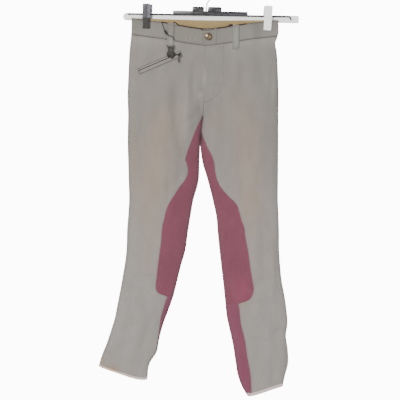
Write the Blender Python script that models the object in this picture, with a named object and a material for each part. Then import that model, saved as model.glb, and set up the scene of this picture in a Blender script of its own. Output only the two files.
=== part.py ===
"""Riding breeches that hang flat from a clip hanger, at real size, in metres with +Z up.

The origin is the underside of the top of the hanger's hook, where a rail carries it. X runs
across the waist, with the wearer's right leg at -X, and the front faces -Y.

The tables and the driving sizes are in millimetres. A place on the garment is given by its x,
by its y behind the plane of the side seams, and by its drop, the distance below the centre line
of the hanger's bar.
"""

import math
from collections import namedtuple

import bmesh
import bpy
import numpy as np
from mathutils import Matrix, Vector

MM = 0.001

# Driving sizes of the garment
BAR_BELOW_HOOK = 95.0
CLOTH_WALL = 1.2
BAND_WALL = 1.8
FACING_WALL = 1.0
FLY_WALL = 1.9
FLY_LIFT = 0.7
SEAM_GAP = 0.3
BAND_HEIGHT = 39.5
CROTCH_DROP = 240.0
RISE_TURN_DROP = 165.0
LEG_SHAPE_DROPS = (90.0, 330.0)
SECTION_POWER = 2.4

# Driving sizes of the hanger and its clips
CLIP_X = {"right": -144.0, "left": 148.5}
CLIP_WIDTH = 18.0
CLIP_LEAN_DEG = {"right": 0.0, "left": 3.0}
PINCH_FRONT = 2.4
PINCH_BACK = 3.2
PINCH_FLAT = 13.0
PINCH_REACH = 40.0
PINCH_DROP = 30.0
PINCH_END_DROP = 85.0

# The outline of each leg, one row for each line across it: its inner end, then its outer end
LEG_COLUMNS = ("in_drop", "in_x", "out_drop", "out_x")
RIGHT_LEG = (
    (30.0, 0.0, 5.0, -179.5),
    (69.5, 0.0, 46.0, -180.0),
    (95.0, 0.0, 81.0, -183.0),
    (140.0, 0.0, 141.0, -185.0),
    (186.0, -1.5, 189.0, -186.0),
    (236.0, -3.7, 237.0, -184.0),
    (272.0, -8.4, 273.0, -184.0),
    (299.0, -10.0, 297.0, -184.0),
    (342.0, -10.5, 345.0, -182.0),
    (393.0, -12.0, 393.0, -180.0),
    (441.0, -24.0, 441.0, -178.0),
    (470.0, -28.5, 470.0, -179.0),
    (515.0, -35.0, 513.0, -181.5),
    (559.0, -40.5, 556.0, -182.0),
    (597.0, -50.5, 590.0, -185.0),
    (634.0, -59.0, 624.0, -190.0),
    (670.0, -67.5, 658.0, -195.5),
    (706.0, -79.5, 691.0, -201.5),
    (742.0, -92.0, 725.0, -207.5),
    (776.0, -100.0, 756.0, -216.5),
    (805.0, -105.5, 785.0, -225.5),
    (831.0, -121.0, 812.0, -236.0),
    (871.0, -126.5, 841.0, -244.0),
)
LEFT_LEG = (
    (30.0, 0.0, 4.0, 173.5),
    (69.5, 0.0, 43.5, 172.5),
    (82.0, 0.0, 58.0, 167.5),
    (100.0, 0.0, 80.0, 171.0),
    (140.0, 0.0, 135.0, 175.0),
    (186.0, -1.5, 183.0, 177.0),
    (236.0, -3.7, 231.0, 177.5),
    (272.0, -7.2, 267.0, 178.0),
    (299.0, -8.0, 293.0, 178.5),
    (342.0, -4.0, 339.0, 179.0),
    (392.0, 11.0, 387.0, 179.5),
    (440.0, 24.0, 435.0, 180.0),
    (477.0, 32.5, 471.0, 182.0),
    (519.0, 37.0, 512.0, 184.0),
    (565.0, 42.5, 555.0, 185.0),
    (603.0, 47.5, 591.0, 188.0),
    (644.0, 53.0, 629.0, 192.5),
    (682.0, 57.5, 665.0, 200.0),
    (718.0, 62.0, 699.0, 204.5),
    (751.0, 70.0, 730.0, 206.5),
    (785.0, 78.0, 759.0, 205.0),
    (823.0, 84.5, 794.0, 208.5),
    (857.0, 91.0, 828.0, 209.5),
    (885.0, 102.0, 857.0, 204.0),
    (907.0, 115.5, 882.0, 199.0),
)

# How far the cloth stands out to the front and the back, and where the back's line begins
PROFILE_COLUMNS = ("in_drop", "back_in_drop", "front_bulge", "back_bulge")
PROFILE = (
    (30.0, 7.0, 15.0, 3.2),
    (69.5, 46.0, 17.0, 9.0),
    (95.0, 82.0, 20.0, 15.0),
    (140.0, 136.0, 24.0, 22.0),
    (186.0, 186.0, 26.0, 27.0),
    (236.0, 236.0, 26.0, 30.0),
    (300.0, 300.0, 25.0, 28.0),
    (392.0, 392.0, 22.0, 23.0),
    (515.0, 515.0, 21.0, 18.0),
    (600.0, 600.0, 18.0, 18.0),
    (700.0, 700.0, 15.0, 19.0),
    (800.0, 800.0, 12.0, 14.0),
    (907.0, 907.0, 9.0, 10.0),
)

# The front edge of the plum cloth, from the crotch to the hem, as drop and x
PATCH_EDGE_COLUMNS = ("drop", "x")
PATCH_EDGE = {
    "right": (
        (240.0, -8.0),
        (256.0, -14.0),
        (275.0, -22.0),
        (295.0, -29.0),
        (314.0, -36.0),
        (333.0, -42.0),
        (343.0, -43.5),
        (353.0, -40.0),
        (372.0, -37.5),
        (391.0, -44.0),
        (410.0, -58.0),
        (430.0, -70.0),
        (449.0, -81.5),
        (468.0, -88.5),
        (488.0, -93.0),
        (507.0, -96.5),
        (545.0, -99.0),
        (584.0, -103.5),
        (622.0, -107.5),
        (642.0, -109.5),
        (654.0, -108.5),
        (662.0, -103.0),
        (667.0, -92.0),
        (671.0, -82.0),
        (680.0, -85.0),
        (699.0, -91.0),
        (718.0, -97.0),
        (738.0, -101.0),
        (776.0, -105.0),
        (805.0, -110.0),
        (831.0, -125.0),
        (871.0, -131.0),
    ),
    "left": (
        (240.0, 1.0),
        (256.0, 0.0),
        (272.0, -2.0),
        (285.0, -2.5),
        (297.0, 0.0),
        (313.0, 7.5),
        (332.0, 19.5),
        (351.0, 24.5),
        (370.0, 27.5),
        (389.0, 32.5),
        (408.0, 42.5),
        (427.0, 59.5),
        (446.0, 79.0),
        (465.0, 87.0),
        (484.0, 92.0),
        (503.0, 99.5),
        (523.0, 102.0),
        (561.0, 110.0),
        (599.0, 115.5),
        (638.0, 123.0),
        (650.0, 124.5),
        (664.0, 121.5),
        (674.0, 114.5),
        (680.0, 102.5),
        (685.0, 89.5),
        (696.0, 91.0),
        (734.0, 96.0),
        (772.0, 106.0),
        (810.0, 112.0),
        (849.0, 120.0),
        (894.0, 124.0),
        (907.0, 126.0),
    ),
}

# The same edge on the back, as the share of the half width from the outer seam to the middle
SEAT_EDGE_COLUMNS = ("in_drop", "share")
SEAT_EDGE = (
    (30.0, 0.80),
    (95.0, 0.86),
    (118.0, 0.94),
    (140.0, 0.78),
    (164.0, 0.56),
    (186.0, 0.43),
    (206.0, 0.37),
    (240.0, 0.33),
    (300.0, 0.34),
    (393.0, 0.40),
    (490.0, 0.44),
    (590.0, 0.46),
    (640.0, 0.48),
    (655.0, 0.53),
    (665.0, 0.66),
    (672.0, 0.85),
    (700.0, 0.87),
    (800.0, 0.86),
    (907.0, 0.84),
)

# Rows of the cloth's grid, by the drop of their inner end
BODY_ROWS = (30.0, 50.0, 69.5, 95.0, 118.0, 140.0, 164.0, 186.0, 206.0, 222.0, 233.0, 240.0)
LEG_ROWS = {
    "right": (
        248.0, 258.0, 272.0, 286.0, 300.0, 318.0, 336.0, 350.0, 366.0, 384.0, 402.0, 420.0,
        440.0, 462.0, 486.0, 512.0, 540.0, 568.0, 596.0, 622.0, 644.0, 656.0, 664.0, 670.0,
        688.0, 710.0, 732.0, 756.0, 778.0, 797.0, 812.0, 825.0, 838.0, 852.0, 865.0, 871.0,
    ),
    "left": (
        248.0, 258.0, 272.0, 286.0, 300.0, 318.0, 336.0, 352.0, 370.0, 388.0, 406.0, 424.0,
        444.0, 466.0, 490.0, 516.0, 544.0, 572.0, 600.0, 628.0, 652.0, 668.0, 679.0, 686.0,
        704.0, 724.0, 744.0, 764.0, 784.0, 804.0, 826.0, 848.0, 868.0, 885.0, 900.0, 907.0,
    ),
}
BAND_ROW = 2
SEAT_TOP_ROW = 4
FLY_END_ROW = 8
CROTCH_ROW = len(BODY_ROWS) - 1
KNEE_ROW = CROTCH_ROW + 24
HEM_ROW = CROTCH_ROW + 35
ANKLE_TAB_ROW = CROTCH_ROW + 33

# Columns of the cloth's grid at the waist, as shares of the half width. The third and fourth
# lie on both sides of the clip, and the last is the fly's stitched edge.
WAIST_SHARES = {
    "right": (0.0, 0.03, 0.13, 0.27, 0.39, 0.50, 0.61, 0.71, 0.81),
    "left": (0.0, 0.025, 0.08, 0.225, 0.35, 0.47, 0.58, 0.67, 0.75),
}
EDGE_COLUMN = len(WAIST_SHARES["right"]) - 1
INNER_COLUMNS = 4
MIDDLE_COLUMN = EDGE_COLUMN + INNER_COLUMNS
TAB_COLUMNS = 1

# The stretches of each long panel, from row to row. Short stretches keep the collision hulls
# thin, so that the inside of the leg stays open.
PANEL_STRETCHES = {
    "hip": (BAND_ROW, CROTCH_ROW),
    "thigh": (CROTCH_ROW, KNEE_ROW),
    "calf": (KNEE_ROW, HEM_ROW),
}

# The largest folds, each along a line: its ends, half width and height (a trough is negative)
Fold = namedtuple("Fold", "x_from drop_from x_to drop_to half_width height")
FRONT_FOLDS = (
    Fold(-73.0, 195.0, -68.0, 305.0, 15.0, -5.0),
    Fold(-66.0, 285.0, -48.0, 352.0, 12.0, -5.0),
    Fold(-38.0, 180.0, -33.0, 300.0, 14.0, 4.0),
    Fold(-135.0, 500.0, -142.0, 620.0, 36.0, 5.0),
    Fold(138.0, 470.0, 150.0, 640.0, 24.0, 5.0),
    Fold(40.0, 200.0, 60.0, 330.0, 18.0, -3.5),
    Fold(-160.0, 740.0, -205.0, 760.0, 12.0, -3.0),
    Fold(175.0, 745.0, 205.0, 760.0, 12.0, -3.5),
    Fold(-150.0, 110.0, -140.0, 260.0, 26.0, 3.0),
)
BACK_FOLDS = (
    Fold(-60.0, 190.0, -50.0, 320.0, 16.0, -5.0),
    Fold(62.0, 185.0, 58.0, 330.0, 18.0, -4.5),
    Fold(-120.0, 300.0, -125.0, 420.0, 26.0, 4.0),
    Fold(125.0, 320.0, 132.0, 450.0, 26.0, 4.0),
    Fold(-150.0, 540.0, -85.0, 565.0, 15.0, -4.0),
    Fold(80.0, 560.0, 160.0, 545.0, 15.0, -4.0),
    Fold(-165.0, 650.0, -170.0, 760.0, 26.0, 4.0),
    Fold(140.0, 660.0, 150.0, 790.0, 26.0, 4.0),
)

# Small pieces on the front
BUTTON_X = 6.0
BUTTON_DROP = 47.7
BUTTON_RADIUS = 8.6
BUTTON_HEIGHT = 3.8
OVERLAP_X = (-7.5, 25.0)
OVERLAP_WALL = 1.5
TRIM_GAP = 0.45
LOOP_WIDTH = 15.0
LOOP_WALL = 1.6
LOOP_RISE = 1.6
Loop = namedtuple("Loop", "name face x drop_from drop_to")
BELT_LOOPS = (
    Loop("belt_loop_front_right", "front", -84.5, 17.0, 73.0),
    Loop("belt_loop_front_left", "front", 71.5, 19.5, 76.5),
    Loop("belt_loop_back_right", "back", -51.0, 9.8, 62.0),
    Loop("belt_loop_back_left", "back", 44.0, 9.8, 62.0),
)

# The slanted pocket: the zip's line, and how far its welts reach to each side of it
POCKET_START = (-159.0, 132.0)
POCKET_END = (-59.5, 88.0)
POCKET_WELTS = {"pocket_welt_upper": (1.0, 4.8), "pocket_welt_lower": (-9.4, -1.0)}
POCKET_ZIP = (-0.6, 0.6)
WELT_WALL = 1.1
SLIDER_X = -63.5
SLIDER_DROP = 91.0
SLIDER_LENGTH = 9.0
SLIDER_WIDTH = 5.6
SLIDER_HEIGHT = 2.4
CHEEK_GAP = 3.9
BRIDGE_RADIUS = 0.7
EYE_RADIUS = 1.6
EYE_HOLE_RADIUS = 1.0
PULL_WIDTH = 3.5
PULL_LENGTH = 17.0
PULL_WALL = 1.2

# The dark cord over the waistband, and the charm on it, whose outline's points are x and drop
# from its centre
CORD_DIAMETER = 1.7
CordPoint = namedtuple("CordPoint", "x drop stand_off")
CORD_UPPER = (
    CordPoint(-104.7, 18.5, 1.35),
    CordPoint(-103.4, 23.0, 1.35),
    CordPoint(-101.2, 29.0, 1.35),
    CordPoint(-99.3, 33.2, 1.55),
)
CORD_LOWER = (
    CordPoint(-92.2, 45.0, 6.4),
    CordPoint(-88.5, 46.9, 6.0),
    CordPoint(-83.0, 48.8, 5.8),
    CordPoint(-78.2, 51.3, 5.4),
    CordPoint(-75.4, 56.0, 3.6),
    CordPoint(-75.3, 62.0, 1.7),
    CordPoint(-75.6, 68.3, 1.7),
)
BEAD_ENDS = (CordPoint(-99.4, 33.8, 3.2), CordPoint(-92.9, 44.2, 6.5))
BEAD_RADIUS = 2.7
FOB_CENTRE = (-83.8, 87.0)
FOB_WALL = 2.4
FOB_STAND_OFF = 1.7
FOB_OUTLINE = (
    (-10.2, -16.6),
    (-8.0, -16.8),
    (-6.6, -12.6),
    (6.0, -12.6),
    (7.4, -16.4),
    (9.6, -16.2),
    (8.2, -10.0),
    (6.4, -6.0),
    (7.6, -1.0),
    (13.6, 4.6),
    (10.4, 9.0),
    (6.8, 14.6),
    (1.4, 15.2),
    (-1.4, 11.2),
    (-5.6, 12.4),
    (-8.8, 7.0),
    (-8.6, 2.6),
    (-5.8, -4.0),
    (-6.6, -9.4),
)

# The hanger
BAR_X = (-200.0, 223.0)
BAR_HEIGHT = 18.0
BAR_THICKNESS = 5.5
BAR_FRONT_Y = 5.6
ROD_DROP = -6.0
ROD_RADIUS = 1.3
ROD_Y = 3.9
ROD_X = (-188.0, 201.0)
SADDLE_X = (-80.5, 99.5)
SADDLE_DROP = (-15.5, -5.0)
SADDLE_Y = (0.2, 2.2)
NUB_TOP_DROP = -25.0
NUB_X = ((-33.0, -5.2), (5.2, 36.0))
HOOK_RADIUS = 2.25
HOOK_BEND = 22.0
HOOK_STEM_TOP = 56.0
HOOK_TURN_DEG = 195.0
HOOK_STEPS = 12
JAW_WALL = 1.5
JAW_TOP_DROP = -30.0
JAW_END_DROP = 28.0
JAW_BACK_SHIFT = 3.0
PIVOT_DROP = (-12.0, -1.0)


def level(drop):
    """The height in metres of a drop."""
    return -(BAR_BELOW_HOOK + drop) * MM


def behind(y):
    """The Y in metres of a distance behind the side seams, counted from the hook's plane."""
    return (y - BAR_FRONT_Y - BAR_THICKNESS / 2) * MM


def metres(x, y, drop):
    """A point of the object from its x, y and drop in millimetres."""
    return np.stack(np.broadcast_arrays(x * MM, behind(y), level(drop)), axis=-1)


def column(table, names, name):
    """One named column of a table, as an array."""
    return np.array([row[names.index(name)] for row in table], float)


def through(knots, values, at):
    """A smooth line through the values, whose slope at each knot comes from its neighbours."""
    slopes = np.gradient(values, knots)
    i = np.clip(np.searchsorted(knots, at, side="right") - 1, 0, len(knots) - 2)
    step = knots[i + 1] - knots[i]
    t = (at - knots[i]) / step
    start = values[i] * (1 + 2 * t) * (1 - t) ** 2 + slopes[i] * step * t * (1 - t) ** 2
    end = values[i + 1] * t**2 * (3 - 2 * t) - slopes[i + 1] * step * t**2 * (1 - t)
    return start + end


def ease(t):
    """0 below 0, 1 above 1, and a smooth step between."""
    t = np.clip(t, 0.0, 1.0)
    return t * t * (3 - 2 * t)


def outline(side, row):
    """The outline's columns at the given rows, with the profile's, by name."""
    table = RIGHT_LEG if side == "right" else LEFT_LEG
    knots = column(table, LEG_COLUMNS, "in_drop")
    found = {n: through(knots, column(table, LEG_COLUMNS, n), row) for n in LEG_COLUMNS[1:]}
    knots = column(PROFILE, PROFILE_COLUMNS, "in_drop")
    for name in PROFILE_COLUMNS[1:]:
        found[name] = through(knots, column(PROFILE, PROFILE_COLUMNS, name), row)
    return found


def fullness(share, drop):
    """How far out the cloth stands, from 0 to 1, at a share of the half width.

    Over the body it is full at the middle; below the crotch each leg closes at its inner side.
    """
    n = SECTION_POWER
    from_drop, to_drop = LEG_SHAPE_DROPS
    reach = 1 - 0.5 * ease((drop - from_drop) / (to_drop - from_drop))
    outer = (1 - np.clip(1 - share / reach, 0, 1) ** n) ** (1 / n)
    inner = (1 - np.clip(2 * share - 1, 0, 1) ** n) ** (1 / n)
    turn = np.clip((drop - RISE_TURN_DROP) / (CROTCH_DROP - RISE_TURN_DROP), 0.0, 1.0)
    joined = np.sqrt(1 - turn**2)
    return outer * (joined + (1 - joined) * inner)


def fold_height(folds, x, drop):
    """The height of the folds at a place: each is a soft ridge that fades at both ends."""
    height = np.zeros(np.broadcast(x, drop).shape)
    for fold in folds:
        along_x, along_drop = fold.x_to - fold.x_from, fold.drop_to - fold.drop_from
        from_x, from_drop = x - fold.x_from, drop - fold.drop_from
        length = math.hypot(along_x, along_drop)
        t = (from_x * along_x + from_drop * along_drop) / length**2
        across = (from_x * along_drop - from_drop * along_x) / length
        fade = np.sin(math.pi * np.clip(t, 0.0, 1.0)) ** 0.7
        height = height + fold.height * fade * np.exp(-((across / fold.half_width) ** 2))
    return height


def cloth_place(side, face, share, row):
    """x, y and drop of the cloth's outer face, at a share of a row, front or back."""
    at = outline(side, row)
    share = np.clip(share, 0.0, 1.0)
    middle_drop = row if face == "front" else at["back_in_drop"]
    x = at["out_x"] + (at["in_x"] - at["out_x"]) * share
    along = (share + ease(share)) / 2
    drop = at["out_drop"] + (middle_drop - at["out_drop"]) * along
    full = fullness(share, row)
    folds = FRONT_FOLDS if face == "front" else BACK_FOLDS
    depth = at[face + "_bulge"] * full + fold_height(folds, x, drop) * full
    reach = (np.abs(x - CLIP_X[side]) - PINCH_FLAT) / (PINCH_REACH - PINCH_FLAT)
    below = (drop - PINCH_DROP) / (PINCH_END_DROP - PINCH_DROP)
    pinch = (1 - ease(reach)) * (1 - ease(below)) * ease(share / 0.03)
    pinched = PINCH_FRONT if face == "front" else PINCH_BACK
    depth = depth * (1 - pinch) + pinched * pinch
    return x, (-depth if face == "front" else depth), drop


def cloth_at(side, face, x, drop):
    """The outer face of the cloth in metres, at a given x and drop."""
    row = np.array(drop, float)
    for _ in range(12):
        at = outline(side, row)
        share = (x - at["out_x"]) / (at["in_x"] - at["out_x"])
        row = row + drop - cloth_place(side, face, share, row)[2]
    _, y, _ = cloth_place(side, face, share, row)
    return metres(x, y, drop)


def patch_shares(side, rows):
    """Where the plum cloth's front edge crosses each leg row, as a share of its width."""
    table = PATCH_EDGE[side]
    index = np.arange(len(table), dtype=float)
    fine = np.linspace(0, len(table) - 1, 40 * len(table))
    edge_x = through(index, column(table, PATCH_EDGE_COLUMNS, "x"), fine)
    edge_drop = through(index, column(table, PATCH_EDGE_COLUMNS, "drop"), fine)
    shares = []
    for row in rows:
        at = outline(side, row)
        share = np.clip((edge_x - at["out_x"]) / (at["in_x"] - at["out_x"]), 0, 1)
        row_drop = at["out_drop"] + (row - at["out_drop"]) * (share + ease(share)) / 2
        crossing = np.argmax(edge_drop >= row_drop) if (edge_drop >= row_drop).any() else -1
        shares.append(share[crossing])
    return np.clip(np.array(shares), 0.3, 0.985)


def share_grid(side, face, rows):
    """Shares of the half width for each row and column, with one column on the plum edge."""
    rows = np.array(rows)
    if face == "front":
        knots = np.array([BODY_ROWS[FLY_END_ROW], BODY_ROWS[CROTCH_ROW - 1]])
        below = rows >= BODY_ROWS[CROTCH_ROW]
        first = patch_shares(side, [BODY_ROWS[CROTCH_ROW]])[0]
        edge = np.interp(rows, knots, [WAIST_SHARES[side][-1], first - 0.02])
        edge[below] = patch_shares(side, rows[below])
    else:
        knots = column(SEAT_EDGE, SEAT_EDGE_COLUMNS, "in_drop")
        edge = np.interp(rows, knots, column(SEAT_EDGE, SEAT_EDGE_COLUMNS, "share"))
    edge = edge[:, None]
    step = np.arange(EDGE_COLUMN + 1) / EDGE_COLUMN
    spread = 1 - np.cos(step * math.pi / 2)
    spread = edge * (0.55 * spread + 0.45 * step)[None, :]
    waist = np.array(WAIST_SHARES[side])[None, :] * edge / WAIST_SHARES[side][-1]
    low = ease((rows - 70.0) / 90.0)[:, None]
    outer = waist * (1 - low) + spread * low
    step = np.arange(1, INNER_COLUMNS + 1) / INNER_COLUMNS
    closing = ease((rows - 210.0) / 50.0)[:, None]
    rounding = (np.sin(step * math.pi / 2) * 0.6 + step * 0.4)[None, :]
    inner = edge + (1 - edge) * (step[None, :] * (1 - closing) + rounding * closing)
    return np.concatenate([outer, inner], axis=1)


class Leg:
    """One half of the garment as a grid of points that runs from the outer seam over the
    front to the middle, then over the back to the outer seam again."""

    def __init__(self, side):
        self.side = side
        self.rows = BODY_ROWS + LEG_ROWS[side]
        grids = []
        for face in ("front", "back"):
            share = share_grid(side, face, self.rows)
            row = np.array(self.rows)[:, None] + 0 * share
            grids.append(metres(*cloth_place(side, face, share, row)))
        front, back = grids
        self.across = 2 * MIDDLE_COLUMN + 2
        self.points = np.concatenate([front, back[:, ::-1]], axis=1).reshape(-1, 3)
        self.normals = self.point_normals()

    def corner(self, row, col):
        """The number of a grid point. The outer seam, and each leg's inner seam, is shared."""
        if col == self.across - 1:
            col = 0
        if col == MIDDLE_COLUMN + 1 and row >= CROTCH_ROW:
            col = MIDDLE_COLUMN
        return row * self.across + col

    def face(self, cell):
        """The four corners of a grid cell, so that it faces out."""
        row, col = cell
        loop = [(row, col), (row + 1, col), (row + 1, col + 1), (row, col + 1)]
        if self.side == "left":
            loop.reverse()
        return [self.corner(*place) for place in loop]

    def cells(self, first_row, end_row, first_col, end_col):
        """The cells of a block of rows and columns, without the gap at the middle."""
        return {
            (row, col)
            for row in range(first_row, end_row)
            for col in range(first_col, end_col)
            if col != MIDDLE_COLUMN
        }

    def point_normals(self):
        """The outward direction at each point, from the cells round it."""
        everything = self.cells(0, len(self.rows) - 1, 0, self.across - 1)
        loops = np.array([self.face(cell) for cell in sorted(everything)])
        corners = self.points[loops]
        flat = np.cross(corners[:, 2] - corners[:, 0], corners[:, 3] - corners[:, 1])
        flat /= np.linalg.norm(flat, axis=1)[:, None]
        normals = np.zeros_like(self.points)
        for k in range(4):
            np.add.at(normals, loops[:, k], flat)
        for row in range(CROTCH_ROW):
            for col in (MIDDLE_COLUMN, MIDDLE_COLUMN + 1):
                normals[self.corner(row, col), 0] = 0.0
        lengths = np.linalg.norm(normals, axis=1)
        lengths[lengths == 0] = 1.0
        return normals / lengths[:, None]

    def cut(self, name, cells, wall, material, lift=0.0):
        """A closed piece of cloth over some cells, parted from its neighbours by the seam gap."""
        loops = [self.face(cell) for cell in sorted(cells)]
        directed = {(loop[k], loop[(k + 1) % 4]) for loop in loops for k in range(4)}
        rim = {}
        for loop in loops:
            a, b, c, d = (self.points[v] for v in loop)
            normal = np.cross(c - a, d - b)
            normal /= np.linalg.norm(normal)
            for k in range(4):
                start, end = loop[k], loop[(k + 1) % 4]
                if (end, start) not in directed:
                    inward = np.cross(normal, self.points[end] - self.points[start])
                    rim[(start, end)] = inward / np.linalg.norm(inward)
        used = sorted({v for loop in loops for v in loop})
        number = {v: k for k, v in enumerate(used)}
        shift = np.zeros((len(used), 3))
        for vertex in {v for pair in rim for v in pair}:
            sides = [inward for pair, inward in rim.items() if vertex in pair]
            miter = 1 + max(-0.4, float(sides[0] @ sides[-1])) if len(sides) > 1 else 1.0
            total = sum(sides)
            shift[number[vertex]] = total / miter * SEAM_GAP / 2 * MM
        outer = self.points[used] + shift + self.normals[used] * lift * MM
        inner = outer - self.normals[used] * wall * MM
        faces = []
        for loop in loops:
            a, b, c, d = (number[v] for v in loop)
            faces += [[a, b, c], [a, c, d]]
        count = len(used)
        closed = [list(f) for f in faces]
        closed += [[v + count for v in reversed(f)] for f in faces]
        for start, end in sorted(rim):
            a, b = number[start], number[end]
            closed.append([b, a, a + count, b + count])
        return add_mesh(name, np.concatenate([outer, inner]), closed, material)


def add_mesh(name, points, faces, material):
    """A mesh object with its own material."""
    mesh = bpy.data.meshes.new(name)
    mesh.from_pydata([tuple(p) for p in points], [], faces)
    mesh.validate()
    mesh.update()
    return add_object(name, mesh, material)


def add_object(name, data, material):
    """An object in the scene with its own material."""
    data.materials.append(finish(name, *material))
    new = bpy.data.objects.new(name, data)
    bpy.context.scene.collection.objects.link(new)
    return new


def finish(name, colour, roughness, metallic):
    """A Principled material."""
    made = bpy.data.materials.new(name + "_finish")
    made.use_nodes = True
    shader = made.node_tree.nodes["Principled BSDF"]
    shader.inputs["Base Color"].default_value = (*colour, 1.0)
    shader.inputs["Roughness"].default_value = roughness
    shader.inputs["Metallic"].default_value = metallic
    return made


TWILL = ((0.33, 0.31, 0.28), 0.9, 0.0)
BAND_TWILL = ((0.29, 0.28, 0.26), 0.9, 0.0)
PLUM = ((0.27, 0.09, 0.12), 0.95, 0.0)
BEIGE = ((0.39, 0.31, 0.19), 0.9, 0.0)
PALE = ((0.55, 0.47, 0.43), 0.9, 0.0)
TAN = ((0.35, 0.27, 0.19), 0.9, 0.0)
ANTIQUE_BRASS = ((0.45, 0.36, 0.25), 0.35, 1.0)
DARK_METAL = ((0.07, 0.065, 0.055), 0.5, 0.9)
DARK_CORD = ((0.03, 0.03, 0.025), 0.8, 0.0)
WHITE_PLASTIC = ((0.80, 0.80, 0.78), 0.35, 0.0)
STEEL = ((0.42, 0.42, 0.43), 0.3, 1.0)
CHROME = ((0.85, 0.85, 0.86), 0.1, 1.0)


def grid_solid(name, grid, wall, material, lift=0.0, towards=(0, -1, 0)):
    """A closed wall over a grid of points; lift and wall may vary from point to point."""
    down, right = np.gradient(grid, axis=0), np.gradient(grid, axis=1)
    normal = np.cross(right, down)
    normal /= np.linalg.norm(normal, axis=2)[:, :, None]
    turned = float((normal @ np.array(towards, float)).mean()) < 0
    if turned:
        normal = -normal
    lift = np.broadcast_to(lift, grid.shape[:2])[:, :, None] * MM
    outer = grid + normal * (lift + wall * MM)
    inner = grid + normal * lift
    rows, cols = grid.shape[:2]
    count = rows * cols
    top = [
        [r * cols + c, r * cols + c + 1, (r + 1) * cols + c + 1, (r + 1) * cols + c]
        for r in range(rows - 1)
        for c in range(cols - 1)
    ]
    rim = [c for c in range(cols)]
    rim += [r * cols + cols - 1 for r in range(1, rows)]
    rim += [(rows - 1) * cols + c for c in range(cols - 2, -1, -1)]
    rim += [r * cols for r in range(rows - 2, 0, -1)]
    faces = top + [[v + count for v in reversed(f)] for f in top]
    for a, b in zip(rim, rim[1:] + rim[:1]):
        faces.append([b, a, a + count, b + count])
    if turned:
        faces = [list(reversed(f)) for f in faces]
    return add_mesh(name, np.concatenate([outer.reshape(-1, 3), inner.reshape(-1, 3)]), faces, material)


def leg_pieces(side):
    """The cloth of one half: band, front, back, plum cloth, calf strip and hem."""
    leg = Leg(side)
    last = leg.across - 1
    back_edge = last - EDGE_COLUMN
    leg.cut("waistband_front_" + side, leg.cells(0, BAND_ROW, 0, MIDDLE_COLUMN), BAND_WALL, BAND_TWILL)
    leg.cut("waistband_back_" + side, leg.cells(0, BAND_ROW, MIDDLE_COLUMN, last), BAND_WALL, BAND_TWILL)
    facing = leg.cells(0, BAND_ROW, MIDDLE_COLUMN, last - 2)
    leg.cut("facing_" + side, facing, FACING_WALL, BEIGE, -(BAND_WALL + SEAM_GAP))

    patch = leg.cells(CROTCH_ROW, KNEE_ROW, EDGE_COLUMN, MIDDLE_COLUMN)
    patch |= leg.cells(SEAT_TOP_ROW, KNEE_ROW, MIDDLE_COLUMN, back_edge)
    leg.cut("seat_patch_" + side, patch, CLOTH_WALL, PLUM)
    strip = leg.cells(KNEE_ROW, HEM_ROW, EDGE_COLUMN, back_edge)
    leg.cut("calf_strip_" + side, strip, CLOTH_WALL, PLUM)
    leg.cut("hem_" + side, leg.cells(HEM_ROW, HEM_ROW + 1, 0, last), CLOTH_WALL, PALE)

    front = leg.cells(BAND_ROW, HEM_ROW, 0, MIDDLE_COLUMN) - patch - strip
    if side == "left":
        fly = leg.cells(BAND_ROW, FLY_END_ROW, EDGE_COLUMN, MIDDLE_COLUMN)
        leg.cut("fly", fly, FLY_WALL, TWILL, FLY_LIFT)
        front -= fly
    else:
        tab = leg.cells(ANKLE_TAB_ROW, HEM_ROW, 0, TAB_COLUMNS)
        leg.cut("ankle_tab", tab, CLOTH_WALL, TAN)
        front -= tab
    back = leg.cells(BAND_ROW, HEM_ROW, MIDDLE_COLUMN, last) - patch - strip
    for face, cells in (("front", front), ("back", back)):
        for stretch, (first, end) in PANEL_STRETCHES.items():
            part = {cell for cell in cells if first <= cell[0] < end}
            leg.cut(f"{face}_{side}_{stretch}", part, CLOTH_WALL, TWILL)


def side_of(x):
    """Which half of the garment an x belongs to."""
    return "right" if x < 0 else "left"


def cloth_grid(face, x, drop):
    """Points of the cloth's outer face at arrays of x and drop, on whichever half each is."""
    halves = [cloth_at(side, face, x, drop) for side in ("right", "left")]
    return np.where((x < 0)[..., None], halves[0], halves[1])


def waist_overlap():
    """The buttonhole end of the waistband, which laps over the middle of the front."""
    share = np.linspace(0, 1, 6)[:, None]
    x = np.linspace(*OVERLAP_X, 5)[None, :] + 0 * share
    row = 68.7 - (BAND_HEIGHT - 1.3) * (1 - share)
    drop = row - np.abs(x) * 0.11
    grid = cloth_grid("front", x, drop)
    grid_solid("waistband_overlap", grid, OVERLAP_WALL, BAND_TWILL, TRIM_GAP)


def belt_loops():
    """Belt loops, sewn down at both ends and standing a little off the band between."""
    for loop in BELT_LOOPS:
        step = np.linspace(0, 1, 9)[:, None]
        x = loop.x + np.linspace(-0.5, 0.5, 3)[None, :] * LOOP_WIDTH + 0 * step
        drop = loop.drop_from + (loop.drop_to - loop.drop_from) * step + 0 * x
        lift = TRIM_GAP + LOOP_RISE * np.sin(math.pi * step) ** 0.5 + 0 * x
        towards = (0, -1, 0) if loop.face == "front" else (0, 1, 0)
        grid = cloth_grid(loop.face, x, drop)
        grid_solid(loop.name, grid, LOOP_WALL, BAND_TWILL, lift, towards)


def pocket_grid(sides, along=(0.0, 1.0)):
    """A strip of the front beside the pocket's zip line, between two distances across it."""
    start, end = np.array(POCKET_START), np.array(POCKET_END)
    direction = (end - start) / np.linalg.norm(end - start)
    across = np.array([direction[1], -direction[0]])
    t = np.linspace(*along, 9)[None, :]
    u = np.linspace(sides[1], sides[0], 3)[:, None]
    x = start[0] + (end - start)[0] * t + across[0] * u
    drop = start[1] + (end - start)[1] * t + across[1] * u
    return cloth_grid("front", x, drop)


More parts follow.
